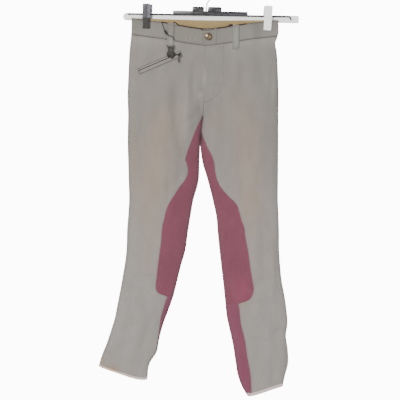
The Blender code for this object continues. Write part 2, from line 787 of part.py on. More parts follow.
def pocket():
    """Two welts with the closed zip between them."""
    for name, sides in POCKET_WELTS.items():
        grid_solid(name, pocket_grid(sides), WELT_WALL, TWILL, TRIM_GAP)
    grid_solid("pocket_zip", pocket_grid(POCKET_ZIP, (0.01, 0.94)), 0.7, DARK_METAL, TRIM_GAP)


def turned(name, profile, place, material, steps=28):
    """A solid of revolution about -Y from its profile of radius and height, outer end last."""
    made = bmesh.new()
    rings = []
    for radius, height in profile:
        y = place[1] - height * MM
        if radius == 0:
            rings.append([made.verts.new((place[0], y, place[2]))])
            continue
        ring = []
        for k in range(steps):
            angle = 2 * math.pi * k / steps
            dx, dz = radius * math.cos(angle) * MM, radius * math.sin(angle) * MM
            ring.append(made.verts.new((place[0] + dx, y, place[2] + dz)))
        rings.append(ring)
    for low, high in zip(rings, rings[1:]):
        for k in range(steps):
            n = (k + 1) % steps
            corners = [low[k % len(low)], low[n % len(low)], high[n % len(high)], high[k % len(high)]]
            made.faces.new(list(dict.fromkeys(corners)))
    bmesh.ops.recalc_face_normals(made, faces=made.faces)
    mesh = bpy.data.meshes.new(name)
    made.to_mesh(mesh)
    made.free()
    mesh.shade_smooth()
    mesh.set_sharp_from_angle(angle=math.radians(40))
    return add_object(name, mesh, material)


def button():
    """The tack button's domed head on the waistband's overlap."""
    x = np.array([BUTTON_X])
    place = cloth_grid("front", x, np.array([BUTTON_DROP]))[0]
    back = TRIM_GAP + OVERLAP_WALL + 0.9
    r, h = BUTTON_RADIUS, BUTTON_HEIGHT
    profile = (
        (0, 0),
        (r * 0.8, 0),
        (r, 0.8),
        (r, 1.5),
        (r * 0.86, 1.9),
        (r * 0.78, 1.8),
        (r * 0.7, 2.4),
        (r * 0.45, h - 0.4),
        (0, h),
    )
    place = place - np.array([0, back * MM, 0])
    turned("button", profile, place, ANTIQUE_BRASS)


def box_mesh(name, low, high, material):
    """A box between two corners in metres."""
    x, y, z = zip(low, high)
    points = [(a, b, c) for a in x for b in y for c in z]
    faces = [(0, 1, 3, 2), (4, 6, 7, 5), (0, 4, 5, 1), (2, 3, 7, 6), (0, 2, 6, 4), (1, 5, 7, 3)]
    return add_mesh(name, points, [list(f) for f in faces], material)


def rod_mesh(name, start, end, radius, material, steps=14):
    """A round rod between two points in metres."""
    start, end = np.array(start, float), np.array(end, float)
    axis = (end - start) / np.linalg.norm(end - start)
    side = np.cross(axis, (0.0, 0.0, 1.0) if abs(axis[2]) < 0.9 else (1.0, 0.0, 0.0))
    side /= np.linalg.norm(side)
    up = np.cross(axis, side)
    angles = [2 * math.pi * k / steps for k in range(steps)]
    ring = [side * math.cos(a) + up * math.sin(a) for a in angles]
    points = [start + r * radius for r in ring] + [end + r * radius for r in ring]
    faces = [[k, (k + 1) % steps, steps + (k + 1) % steps, steps + k] for k in range(steps)]
    faces += [list(range(steps))[::-1], list(range(steps, 2 * steps))]
    return add_mesh(name, points, faces, material)


def extruded(name, outline_points, x_low, x_high, material):
    """An outline of y and z points, in metres and anticlockwise from +X, carried along X."""
    count = len(outline_points)
    points = [(x_low, y, z) for y, z in outline_points] + [(x_high, y, z) for y, z in outline_points]
    faces = [[k, (k + 1) % count, count + (k + 1) % count, count + k] for k in range(count)]
    faces = [list(reversed(f)) for f in faces]
    faces += [list(range(count))[::-1], list(range(count, 2 * count))]
    made = add_mesh(name, points, faces, material)
    face_out(made)
    return made


def face_out(target):
    """Turns a closed mesh's faces outwards."""
    work = bmesh.new()
    work.from_mesh(target.data)
    bmesh.ops.recalc_face_normals(work, faces=work.faces)
    work.to_mesh(target.data)
    work.free()


def combine(target, other, operation):
    """Joins another object to the target, or cuts it away, and removes the other."""
    modifier = target.modifiers.new(operation, "BOOLEAN")
    modifier.operation = operation
    modifier.solver = "EXACT"
    modifier.object = other
    bpy.context.view_layer.update()
    graph = bpy.context.evaluated_depsgraph_get()
    made = bpy.data.meshes.new_from_object(target.evaluated_get(graph))
    target.modifiers.clear()
    target.data = made
    bpy.data.objects.remove(other)


def slider_place():
    """The point on the cloth under the zip's slider, and the pull tab's hinge point."""
    x = np.array([SLIDER_X])
    base = cloth_grid("front", x, np.array([SLIDER_DROP]))[0]
    stand_off = TRIM_GAP + WELT_WALL + 1.0 + SLIDER_HEIGHT + EYE_RADIUS + 0.4
    return base, base - np.array([0.0, stand_off * MM, 3.4 * MM])


def zip_slider():
    """The slider on the zip, with a bridge bar between two cheeks that holds the pull tab."""
    base, hinge = slider_place()
    back = base[1] - (TRIM_GAP + WELT_WALL + 1.0) * MM
    front = back - SLIDER_HEIGHT * MM
    low = (base[0] - SLIDER_LENGTH / 2 * MM, front, base[2] - SLIDER_WIDTH / 2 * MM - 0.001)
    high = (base[0] + SLIDER_LENGTH / 2 * MM, back, base[2] + SLIDER_WIDTH / 2 * MM)
    body = box_mesh("zip_slider", low, high, DARK_METAL)
    for sign in (-1, 1):
        near = hinge[0] + sign * CHEEK_GAP / 2 * MM
        far = near + sign * 1.1 * MM
        cheek_low = (min(near, far), hinge[1] - 1.1 * MM, hinge[2] - 1.1 * MM)
        cheek_high = (max(near, far), front + 0.8 * MM, hinge[2] + 1.3 * MM)
        combine(body, box_mesh("cheek", cheek_low, cheek_high, DARK_METAL), "UNION")
    reach = CHEEK_GAP / 2 * MM + 0.6 * MM
    start, end = hinge - np.array([reach, 0, 0]), hinge + np.array([reach, 0, 0])
    combine(body, rod_mesh("bridge", start, end, BRIDGE_RADIUS * MM, DARK_METAL), "UNION")


def zip_pull():
    """The pull tab, whose rolled eye hangs on the slider's bridge bar."""
    _, hinge = slider_place()
    half = PULL_WIDTH / 2 * MM
    ends = [hinge - np.array([half, 0, 0]), hinge + np.array([half, 0, 0])]
    body = rod_mesh("zip_pull", *ends, EYE_RADIUS * MM, DARK_METAL, 16)
    low = (hinge[0] - half, hinge[1] - PULL_WALL / 2 * MM, hinge[2] - PULL_LENGTH * MM)
    high = (hinge[0] + half, hinge[1] + PULL_WALL / 2 * MM, hinge[2] - 1.2 * MM)
    combine(body, box_mesh("tab", low, high, DARK_METAL), "UNION")
    ends = [hinge - np.array([2 * half, 0, 0]), hinge + np.array([2 * half, 0, 0])]
    combine(body, rod_mesh("eye", *ends, EYE_HOLE_RADIUS * MM, DARK_METAL, 12), "DIFFERENCE")
    body.data.transform(Matrix.Translation(-Vector(hinge)))
    body.location = hinge


def front_of_cloth(x, drop, stand_off):
    """A point in front of the cloth, by the distance from its outer face along Y."""
    place = cloth_grid("front", np.array([float(x)]), np.array([float(drop)]))[0]
    return place - np.array([0.0, stand_off * MM, 0.0])


def cord_tube(name, table):
    """A stretch of cord as a round tube along a smooth line through the table's places."""
    route = np.array([front_of_cloth(*row) for row in table])
    index = np.arange(len(route), dtype=float)
    lengths = np.linalg.norm(np.diff(route, axis=0), axis=1)
    count = max(4, int(round(lengths.sum() / (2.2 * CORD_DIAMETER * MM))))
    fine = np.linspace(0, len(route) - 1, count)
    smooth = np.stack([through(index, route[:, k], fine) for k in range(3)], axis=1)
    curve = bpy.data.curves.new(name, "CURVE")
    curve.dimensions = "3D"
    curve.bevel_depth = CORD_DIAMETER / 2 * MM
    curve.bevel_resolution = 2
    curve.use_fill_caps = True
    spline = curve.splines.new("POLY")
    spline.points.add(len(smooth) - 1)
    for point, place in zip(spline.points, smooth):
        point.co = (*place, 1.0)
    return add_object(name, curve, DARK_CORD)


def cord_and_fob():
    """The dark cord over the waistband with its bead, and the charm that hangs on it."""
    cord_tube("cord_upper", CORD_UPPER)
    cord_tube("cord_lower", CORD_LOWER)
    start, end = (front_of_cloth(*row) for row in BEAD_ENDS)
    rings = ((0.0, 0.5), (0.18, 0.85), (0.5, 1.0), (0.82, 0.85), (1.0, 0.5))
    axis = (end - start) / np.linalg.norm(end - start)
    side = np.cross(axis, (0.0, 1.0, 0.0))
    side /= np.linalg.norm(side)
    up = np.cross(axis, side)
    steps = 12
    points = []
    for share, size in rings:
        centre = start + (end - start) * share
        for k in range(steps):
            angle = 2 * math.pi * k / steps
            turn = side * math.cos(angle) + up * math.sin(angle)
            points.append(centre + turn * BEAD_RADIUS * size * MM)
    faces = []
    for ring in range(len(rings) - 1):
        for k in range(steps):
            a, b = ring * steps + k, ring * steps + (k + 1) % steps
            faces.append([a, b, b + steps, a + steps])
    faces += [list(range(steps))[::-1], list(range((len(rings) - 1) * steps, len(rings) * steps))]
    face_out(add_mesh("cord_bead", points, faces, DARK_CORD))

    x_middle, drop_middle = FOB_CENTRE
    back = min(
        front_of_cloth(x_middle + x, drop_middle + drop, FOB_STAND_OFF)[1] for x, drop in FOB_OUTLINE
    )
    count = len(FOB_OUTLINE)
    x = np.array([p[0] for p in FOB_OUTLINE]) + x_middle
    drop = np.array([p[1] for p in FOB_OUTLINE]) + drop_middle
    far = metres(x, 0.0, drop)
    far[:, 1] = back
    near = far - np.array([0.0, FOB_WALL * MM, 0.0])
    faces = [list(range(count)), [count + k for k in range(count)][::-1]]
    faces += [[k, (k + 1) % count, count + (k + 1) % count, count + k] for k in range(count)]
    face_out(add_mesh("fob", np.concatenate([near, far]), faces, DARK_METAL))


def hanger_bar():
    """The white bar with rounded ends."""
    radius = BAR_HEIGHT / 2
    outline_points = []
    for centre_x, first in ((BAR_X[1] - radius, -90.0), (BAR_X[0] + radius, 90.0)):
        for k in range(9):
            angle = math.radians(first + 180.0 * k / 8)
            outline_points.append((centre_x + radius * math.cos(angle), radius * math.sin(angle)))
    count = len(outline_points)
    x = np.array([p[0] for p in outline_points])
    drop = -np.array([p[1] for p in outline_points])
    front = metres(x, BAR_FRONT_Y, drop)
    back = metres(x, BAR_FRONT_Y + BAR_THICKNESS, drop)
    faces = [list(range(count)), [count + k for k in range(count)][::-1]]
    faces += [[k, (k + 1) % count, count + (k + 1) % count, count + k] for k in range(count)]
    made = add_mesh("hanger_bar", np.concatenate([front, back]), faces, WHITE_PLASTIC)
    face_out(made)
    edge = made.modifiers.new("edges", "BEVEL")
    edge.width = 1.2 * MM
    edge.segments = 2
    edge.limit_method = "ANGLE"


def hanger_rod():
    """The dark steel rod in front of the bar, on which the clips slide."""
    start = metres(ROD_X[0], ROD_Y, ROD_DROP)
    end = metres(ROD_X[1], ROD_Y, ROD_DROP)
    rod_mesh("hanger_rod", start, end, ROD_RADIUS * MM, STEEL, 12)


def hanger_saddle():
    """The dark plate in front of the rod, with two nubs that sit on the bar's top."""
    top, bottom = level(SADDLE_DROP[0]), level(SADDLE_DROP[1])
    y_front, y_back = behind(SADDLE_Y[0]), behind(SADDLE_Y[1])
    low, high = (SADDLE_X[0] * MM, y_front, bottom), (SADDLE_X[1] * MM, y_back, top)
    plate = box_mesh("hanger_saddle", low, high, STEEL)
    bar_top = level(-BAR_HEIGHT / 2) + 0.3 * MM
    deep = behind(BAR_FRONT_Y + BAR_THICKNESS)
    for x_low, x_high in NUB_X:
        low = (x_low * MM, y_front, level(-13.0))
        high = (x_high * MM, y_back, level(NUB_TOP_DROP))
        combine(plate, box_mesh("nub", low, high, STEEL), "UNION")
        low = (x_low * MM, y_back - 0.5 * MM, bar_top + 3 * MM)
        high = (x_high * MM, deep, level(NUB_TOP_DROP))
        combine(plate, box_mesh("nub_top", low, high, STEEL), "UNION")


def hook_line():
    """The hook's centre line: up the stem, out to one side, and over the top."""
    radius = HOOK_BEND + HOOK_RADIUS
    line = [(0.0, BAR_BELOW_HOOK - BAR_HEIGHT / 2 - 0.4), (0.0, HOOK_STEM_TOP + 14.0)]
    line += [(0.8, HOOK_STEM_TOP + 6.0), (5.5, HOOK_STEM_TOP - 3.0)]
    line += [(14.5, HOOK_STEM_TOP - 13.5), (21.5, HOOK_STEM_TOP - 23.5)]
    for k in range(HOOK_STEPS + 1):
        angle = math.radians(HOOK_TURN_DEG * k / HOOK_STEPS)
        line.append((radius * math.cos(angle), HOOK_BEND - radius * math.sin(angle)))
    return [(x * MM, 0.0, -below * MM) for x, below in line]


def hanger_hook():
    """The bright wire hook. Its inner top is the origin."""
    curve = bpy.data.curves.new("hanger_hook", "CURVE")
    curve.dimensions = "3D"
    curve.bevel_depth = HOOK_RADIUS * MM
    curve.bevel_resolution = 3
    curve.use_fill_caps = True
    places = hook_line()
    spline = curve.splines.new("POLY")
    spline.points.add(len(places) - 1)
    for point, place in zip(spline.points, places):
        point.co = (*place, 1.0)
    add_object("hanger_hook", curve, CHROME)


def clip_outline(front):
    """The side outline of a clip's jaw plate, in y and drop, from its grip to its handle."""
    if front:
        inner = -(PINCH_FRONT + 0.4)
        line = ((inner, JAW_END_DROP), (inner - 0.3, 10.0), (inner - 1.8, -2.0))
        line += ((inner - 6.0, JAW_TOP_DROP),)
        return [(y, d) for y, d in line] + [(y - JAW_WALL, d) for y, d in reversed(line)]
    inner = PINCH_BACK + 0.4
    line = ((inner, JAW_END_DROP), (inner, 8.0), (inner, -4.0), (inner + 0.2, JAW_TOP_DROP))
    return [(y, d) for y, d in line] + [(y + JAW_WALL, d) for y, d in reversed(line)]


def clip(side):
    """A spring clip: two jaw plates that grip the waistband, joined round the rod."""
    x = CLIP_X[side]
    half = CLIP_WIDTH / 2
    name = "clip_" + side
    points = [(behind(y), level(d)) for y, d in clip_outline(True)]
    body = extruded(name, points, (x - half) * MM, (x + half) * MM, STEEL)
    points = [(behind(y), level(d)) for y, d in clip_outline(False)]
    shift = JAW_BACK_SHIFT if side == "right" else -JAW_BACK_SHIFT
    back = extruded("back", points, (x + shift - half) * MM, (x + shift + half) * MM, STEEL)
    combine(body, back, "UNION")
    low = ((x - half + 4) * MM, behind(-PINCH_FRONT - 2.6), level(PIVOT_DROP[1]))
    high = ((x + half - 4) * MM, behind(PINCH_BACK + 1.0), level(PIVOT_DROP[0]))
    combine(body, box_mesh("pivot", low, high, STEEL), "UNION")
    start = metres(x - 2 * CLIP_WIDTH, ROD_Y, ROD_DROP)
    end = metres(x + 2 * CLIP_WIDTH, ROD_Y, ROD_DROP)
    combine(body, rod_mesh("bore", start, end, (ROD_RADIUS + 0.6) * MM, STEEL, 16), "DIFFERENCE")
    centre = Vector((x * MM, 0.0, level(ROD_DROP)))
    lean = Matrix.Rotation(math.radians(CLIP_LEAN_DEG[side]), 4, "Y")
    body.data.transform(Matrix.Translation(centre) @ lean @ Matrix.Translation(-centre))


def clear_scene():
    """Removes every object."""
    for old in list(bpy.data.objects):
        bpy.data.objects.remove(old, do_unlink=True)


def main():
    """Builds the garment, its small pieces and its hanger."""
    clear_scene()
    for side in ("right", "left"):
        leg_pieces(side)
        clip(side)
    waist_overlap()
    belt_loops()
    pocket()
    button()
    zip_slider()
    zip_pull()
    cord_and_fob()
    hanger_bar()
    hanger_rod()
    hanger_saddle()
    hanger_hook()


main()
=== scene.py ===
"""Riding breeches on a clip hanger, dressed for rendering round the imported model.

Sizes are in millimetres unless a name or a comment says metres. A place on the garment is given
by its x, by its distance behind the plane of the side seams, and by its drop below the centre
line of the hanger's bar. X runs across the waist, with the wearer's right leg at -X, and the
front faces -Y. A row is a line across one half of the garment, called by its drop at the inner
end, and a share is a place on a row, from 0 at the outer seam to 1 at the inner end.
"""

import logging
import math
from dataclasses import dataclass, field
from enum import Enum
from functools import cache
from typing import NamedTuple, Optional, Sequence

import bpy
import numpy as np
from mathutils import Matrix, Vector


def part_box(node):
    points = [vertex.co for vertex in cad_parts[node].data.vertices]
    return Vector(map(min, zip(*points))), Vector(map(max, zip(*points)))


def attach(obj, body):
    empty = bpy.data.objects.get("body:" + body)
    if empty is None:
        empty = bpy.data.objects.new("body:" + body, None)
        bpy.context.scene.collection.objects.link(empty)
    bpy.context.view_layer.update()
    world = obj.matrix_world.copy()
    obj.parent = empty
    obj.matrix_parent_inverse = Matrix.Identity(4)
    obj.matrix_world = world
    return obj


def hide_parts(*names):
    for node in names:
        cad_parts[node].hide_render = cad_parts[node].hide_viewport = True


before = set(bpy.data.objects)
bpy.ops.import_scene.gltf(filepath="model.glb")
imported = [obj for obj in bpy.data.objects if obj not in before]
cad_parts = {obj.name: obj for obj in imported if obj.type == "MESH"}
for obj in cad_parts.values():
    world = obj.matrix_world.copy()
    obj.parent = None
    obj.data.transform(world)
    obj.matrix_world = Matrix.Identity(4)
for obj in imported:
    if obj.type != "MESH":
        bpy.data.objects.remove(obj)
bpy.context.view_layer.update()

LOG = logging.getLogger("breeches")
Array = np.ndarray
Piece = bpy.types.Object
Tree = bpy.types.NodeTree
MM = 0.001
GARMENT = "garment_and_hanger"
PULL_TAB = "pull_tab"

# From the hook's seat at the origin down to the bar's centre line, and the side seams' plane
BAR_BELOW_HOOK = 95.0
SIDE_SEAM_Y = -8.35
# Walls, how far the fly lies over the front, and the groove between two panels
CLOTH_WALL = 1.2
BAND_WALL = 1.8
FACING_WALL = 1.0
FLY_WALL = 1.5
FLY_LIFT = 0.1
SEAM_GAP = 0.3
# How far a sewn-on piece stands off the cloth, and the least width or length of a flat cut
TRIM_GAP = 0.45
LEAST_CUT = 10.1
# How much painted shade darkens a panel's rim, in the groove of its seam, and how much the waistband's,
# from 0 to 1
RIM_SHADE = 0.05
BAND_SHADE = 0.95

# Rows where the panels end
TOP_ROW = 30.0
BAND_END_ROW = 69.5
SEAT_TOP_ROW = 118.0
FLY_END_ROW = 206.0
CROTCH_ROW = 240.0
BAND_HEIGHT = BAND_END_ROW - TOP_ROW
# The knees' folds, where the grid is finest
KNEE_ROWS = (640.0, 700.0)
# The section's power, where the rise begins to part into legs, and where its outer side fills out
SECTION_POWER = 2.4
RISE_TURN_ROW = 165.0
LEG_SHAPE_ROWS = (90.0, 330.0)
# How far each leg's inner side reaches over the middle just below the crotch, and where
CROTCH_LAP = 0.5
LAP_ROWS = (230.0, 239.0, 252.0, 275.0)
# Where the ankles begin to sag, and where the thighs' colour fades
SAG_ROWS = (790.0, 866.0)
FADE_ROWS = (230.0, 580.0)
# How far from the crotch the plum cloth has risen to its full lift
SLIT_ROWS = 32.0
# A clip's pinch: where it ends to each side and down the cloth
PINCH_X = (13.0, 40.0)
PINCH_DROPS = (30.0, 85.0)
# Where the stiff waistband gives way to cloth that ripples
STIFF_DROPS = (66.0, 96.0)


class Side(Enum):
    """The wearer's right or left."""

    RIGHT = "right"
    LEFT = "left"


class Face(Enum):
    """The front or the back of the garment."""

    FRONT = "front"
    BACK = "back"

    @property
    def outward(self) -> float:
        """Which way along Y it faces."""
        return -1.0 if self is Face.FRONT else 1.0


# How far a clip's jaws leave each face from the side seams' plane
PINCHED = {Face.FRONT: 2.4, Face.BACK: 3.2}


class Crease(NamedTuple):
    """A soft ridge along a line, or a trough where its height is negative."""

    x_from: float
    drop_from: float
    x_to: float
    drop_to: float
    half_width: float
    height: float
    bow: float = 0.0


# Each leg's outline, one row for each line across it: in_drop, in_x, out_drop, out_x
LEG_TABLE = {
    Side.RIGHT: np.array((
        (30, 0, 5, -179.5), (69.5, 0, 46, -180), (95, 0, 81, -183), (140, 0, 141, -185),
        (186, -1.5, 189, -186), (236, -3.7, 237, -184), (272, -7.8, 273, -184), (299, -9.2, 297, -184),
        (342, -10.5, 345, -182), (393, -12, 393, -180), (441, -24, 441, -178), (470, -28.5, 470, -179),
        (515, -35, 513, -181.5), (559, -40.5, 556, -182), (597, -50.5, 590, -185),
        (634, -59, 624, -190), (670, -67.5, 658, -195.5), (706, -79.5, 691, -201.5),
        (742, -92, 725, -207.5), (776, -100, 756, -216.5), (805, -105.5, 785, -225.5),
        (831, -121, 812, -236), (871, -126.5, 841, -244),
    )),
    Side.LEFT: np.array((
        (30, 0, 4, 173.5), (69.5, 0, 43.5, 172.5), (82, 0, 58, 167.5), (100, 0, 80, 171),
        (140, 0, 135, 175), (186, -1.5, 183, 177), (236, -3.7, 231, 177.5), (272, -8, 267, 178),
        (299, -8.9, 293, 178.5), (342, -4, 339, 179), (392, 11, 387, 179.5), (440, 24, 435, 180),
        (477, 32.5, 471, 182), (519, 37, 512, 184), (565, 42.5, 555, 185), (603, 47.5, 591, 188),
        (644, 53, 629, 192.5), (682, 57.5, 665, 200), (718, 62, 699, 205.5), (751, 70, 730, 208.2),
        (785, 78, 759, 205), (823, 84.5, 794, 210), (857, 91, 828, 211), (885, 102, 857, 204),
        (907, 115.5, 882, 199),
    )),
}

# How far the cloth stands out: in_drop, back_in_drop, front_bulge, back_bulge
PROFILE = np.array((
    (30, 7, 15, 3.2), (69.5, 46, 17, 9), (95, 82, 20, 15), (140, 136, 24, 22), (186, 186, 26, 27),
    (236, 236, 26, 30), (300, 300, 25, 28), (392, 392, 22, 23), (515, 515, 21, 18), (600, 600, 18, 18),
    (700, 700, 15, 19), (800, 800, 12, 14), (907, 907, 9, 10),
))

# The front edge of the plum cloth, from the crotch to the hem: drop, x
PATCH_EDGE = {
    Side.RIGHT: np.array((
        (240, -4.6), (247, -9.4), (256, -13.6), (275, -22), (295, -29), (314, -36), (333, -42),
        (343, -43.5), (353, -40), (372, -37.5), (391, -44), (410, -58), (430, -70), (449, -81.5),
        (468, -88.5), (488, -93), (507, -96.5), (545, -99), (584, -103.5), (622, -107.5),
        (642, -109.5), (654, -108.5), (662, -103), (667, -92), (671, -82), (680, -85), (699, -90),
        (718, -95), (738, -98), (776, -102.4), (805, -107.2), (831, -122.4), (871, -128),
    )),
    Side.LEFT: np.array((
        (240, -4.2), (256, -5.9), (268, -7), (278, -5.6), (289, -2.4), (301, 3.5), (313, 8.5),
        (332, 19), (351, 25), (370, 27.5), (389, 32.5), (408, 42.5), (427, 59.5), (446, 79), (465, 87),
        (484, 92), (503, 99.5), (523, 102), (561, 110), (599, 115.5), (638, 123), (650, 124.5),
        (664, 121.5), (674, 114.5), (680, 102.5), (685, 89.5), (696, 91), (734, 96), (772, 106),
        (810, 112), (849, 120), (894, 124), (907, 126),
    )),
}

# The same edge on the back, as the share of the half width: in_drop, share
SEAT_EDGE = np.array((
    (30, 0.80), (95, 0.86), (118, 0.94), (140, 0.78), (164, 0.56), (186, 0.43), (206, 0.37),
    (240, 0.33), (300, 0.34), (393, 0.40), (490, 0.44), (590, 0.46), (640, 0.48), (655, 0.53),
    (665, 0.66), (672, 0.85), (700, 0.87), (800, 0.86), (907, 0.84),
))

# The fly's stitched edge, as a share of the left half: straight down, then in a J to the middle
FLY_EDGE = np.array((
    (30, 0.75), (120, 0.75), (150, 0.752), (168, 0.765), (182, 0.80), (192, 0.85), (200, 0.915),
    (206, 0.965),
))

CREASES = {
    Face.FRONT: np.array([Crease(*row) for row in (
        # the largest folds, as on the solids
        (-72, 150, -66, 312, 12, -5.5), (-62, 285, -48, 352, 10, -5), (-44, 120, -40, 300, 10.5, 4.5),
        (-135, 500, -142, 620, 36, 5), (138, 470, 150, 640, 24, 5), (40, 200, 60, 330, 18, -3.5),
        (-160, 740, -205, 760, 12, -3), (175, 745, 205, 760, 12, -3.5), (-150, 110, -140, 260, 26, 3),
        # the fine ones round the hips and the groin
        (-30, 96, -27, 205, 8, -2.2, 2), (-92, 150, -90, 268, 8, 2), (-62, 225, -46, 345, 6, -2.4, -3),
        (-12, 158, -6, 190, 6, -1.9), (22, 168, 44, 158, 6, -1.3), (-16, 214, -5, 244, 6, -2.4),
        (9, 224, 3, 250, 5, -1.2), (0.5, 112, 0.5, 176, 4.5, 3), (12, 214, 60, 262, 7, -2.3, 3),
        (20, 262, 78, 318, 9, -1.7, 5), (-14, 232, -62, 276, 7.5, -2.2, -3),
        (70, 96, 62, 196, 13, 1.9, 3), (96, 90, 90, 188, 8, -1.6, -3), (153, 100, 151, 218, 6, 2.5),
        (169, 108, 168, 214, 4.5, 1.6), (161, 104, 160, 210, 4.5, -2),
        (130, 118, 158, 212, 7.5, -2.2, 2), (118, 84, 140, 150, 8, -1.9, 3),
        (-118, 138, -104, 226, 9, -1.7, 2), (-166, 92, -160, 190, 8, -2, 3),
        (-128, 84, -150, 128, 7, -1.6), (-100, 118, -84, 180, 7, 1.6, 2),
        # the thighs
        (-150, 262, -120, 380, 13, -2.2, 5), (-110, 300, -92, 432, 11, 2.2, 4),
        (-76, 352, -82, 470, 9, -1.9, -3), (-162, 372, -148, 492, 9, 2, 4),
        (112, 236, 96, 352, 12, 2.3, -4), (150, 256, 134, 388, 12, -2.5, 5),
        (78, 306, 90, 420, 10, -2, 4), (164, 330, 158, 462, 8, 2.2, 3),
        (118, 402, 124, 500, 10, 1.7, -3), (-52, 372, -90, 420, 9, -1.4, 3),
        # the knees, where the cloth folds across
        (-170, 514, -112, 540, 9, -2.2, 4), (-176, 566, -112, 598, 10, -2.5, -5),
        (-158, 540, -154, 596, 9, 2.5), (-180, 624, -118, 616, 8, 1.7, 4),
        (-186, 650, -112, 676, 9, -2.2, 5), (143, 486, 150, 640, 9, -4), (167, 516, 172, 676, 7, 3, 2),
        (126, 556, 176, 588, 8, -1.9, -4), (128, 640, 184, 622, 9, -2.2, 4),
        (134, 596, 140, 664, 9, -1.7), (176, 560, 182, 668, 6, -1.7, 2),
        (108, 680, 170, 694, 8, -1.7, 4),
        # the calves and the ankles
        (-142, 690, -162, 800, 10, 2, 4), (-186, 684, -210, 782, 6, -2.3, 3),
        (-116, 716, -136, 800, 7, -1.7, -3), (-150, 770, -212, 800, 7, -1.9, 4),
        (-207, 798, -211, 842, 5.5, -2.8), (-168, 800, -176, 862, 7.5, 1.7),
        (-134, 806, -146, 858, 5.5, -1.7), (132, 704, 142, 800, 9, 2, 4),
        (168, 690, 184, 788, 8, -2, -4), (196, 720, 198, 800, 5, 1.6), (172, 798, 173, 882, 5.5, -3.2),
        (142, 790, 150, 884, 7, 1.9, 2), (116, 770, 186, 786, 7, -2, 5), (188, 812, 190, 872, 5, 1.7),
        (124, 818, 136, 896, 5, -1.4),
    )]),
    Face.BACK: np.array([Crease(*row) for row in (
        (-60, 190, -50, 320, 16, -5), (62, 185, 58, 330, 18, -4.5), (-120, 300, -125, 420, 26, 4),
        (125, 320, 132, 450, 26, 4), (-150, 540, -85, 565, 15, -4), (80, 560, 160, 545, 15, -4),
        (-165, 650, -170, 760, 26, 4), (140, 660, 150, 790, 26, 4),
        # the seat
        (-40, 84, -58, 150, 10, -2.2, 3), (36, 80, 52, 158, 9, -2.3, -3),
        (-110, 88, -96, 178, 11, 2.2, 4), (104, 92, 92, 170, 10, 2, -4),
        (-150, 100, -132, 196, 9, -2.2, 4), (150, 96, 140, 204, 9, -2.2, -3),
        (-14, 212, -70, 250, 8, -2.9, -4), (10, 208, 66, 244, 8, -3, 5),
        (-22, 246, -86, 290, 9, -2.5, -5), (20, 250, 92, 296, 9, -2.3, 4),
        (-30, 150, -34, 226, 10, 2.2, 2), (28, 144, 32, 216, 10, 2.3, 3),
        # the backs of the thighs and the knees
        (-84, 300, -96, 440, 11, -2.3, 4), (-150, 330, -146, 470, 10, -2.2, 5),
        (84, 320, 96, 452, 11, -2.5, -4), (156, 300, 150, 438, 9, -2, -4),
        (-46, 400, -72, 500, 9, 2, 3), (52, 404, 70, 508, 9, 1.9, -4),
        (-166, 506, -74, 524, 8, -2.8, 6), (-160, 580, -78, 606, 9, -2.8, -5),
        (-150, 560, -84, 588, 8, 2.3, 3), (74, 520, 164, 508, 8, -2.6, -5),
        (80, 596, 168, 580, 9, -2.9, 6), (84, 578, 160, 562, 8, 2.2, 3),
        (-170, 634, -94, 652, 8, -2, 4), (92, 646, 176, 630, 9, -2, 5),
        # the calves and the ankles
        (-130, 690, -150, 800, 9, -2, 4), (-190, 700, -206, 790, 7, 2, 3),
        (110, 700, 124, 806, 9, -2.2, -4), (180, 690, 186, 800, 7, -2.2, 3),
        (-140, 776, -214, 792, 8, -2.2, -5), (108, 782, 196, 770, 8, -2.3, 5),
        (-160, 806, -170, 858, 7, 1.9), (-200, 800, -206, 846, 5, -2), (150, 806, 152, 890, 7, 1.9, 2),
        (182, 806, 184, 876, 5, -2.3), (124, 824, 132, 894, 5, -1.6),
    )]),
}

# Where the cloth is warmer: x, drop, reach in x, reach in drop, how much
WARM = np.array((
    (-122, 392, 50, 90, 0.62), (-122, 540, 28, 80, 0.45), (-176, 330, 10, 60, 0.30),
    (104, 310, 38, 80, 0.56), (118, 450, 28, 70, 0.36), (158, 560, 24, 60, 0.30),
    (-104, 270, 28, 60, 0.55), (-60, 262, 14, 60, 0.35), (74, 196, 30, 50, 0.20),
    (30, 250, 16, 40, 0.25), (108, 585, 16, 50, 0.20), (104, 440, 20, 66, 0.40),
    (96, 655, 24, 40, 0.90), (-213, 856, 19, 18, 1.3),
))

# Where the cloth is cooler and paler, partly its own washed-out tone and partly painted highlight on light
# ridges by the fly and the crotch and on lit places of the band and the thighs' edges: x, drop, reach in x,
# reach in drop, how much
COOL_AND_LIT = np.array((
    (-178, 150, 9, 70, 0.35), (170, 110, 10, 60, 0.25), (-145, 45, 45, 24, 0.90),
    (120, 45, 45, 24, 0.90), (166, 40, 14, 26, 0.70), (-114, 575, 14, 40, 0.30),
    (172, 470, 10, 60, 0.60), (104, 380, 20, 60, 0.30), (-196, 720, 20, 60, 0.20),
    (-46, 238, 9, 58, 0.65), (0, 148, 5, 20, 0.90), (-12, 190, 7, 8, 0.60), (160, 160, 4, 44, 0.60),
    (71.5, 48, 14, 34, 0.95), (-84.5, 64, 10, 9, 0.95),
))
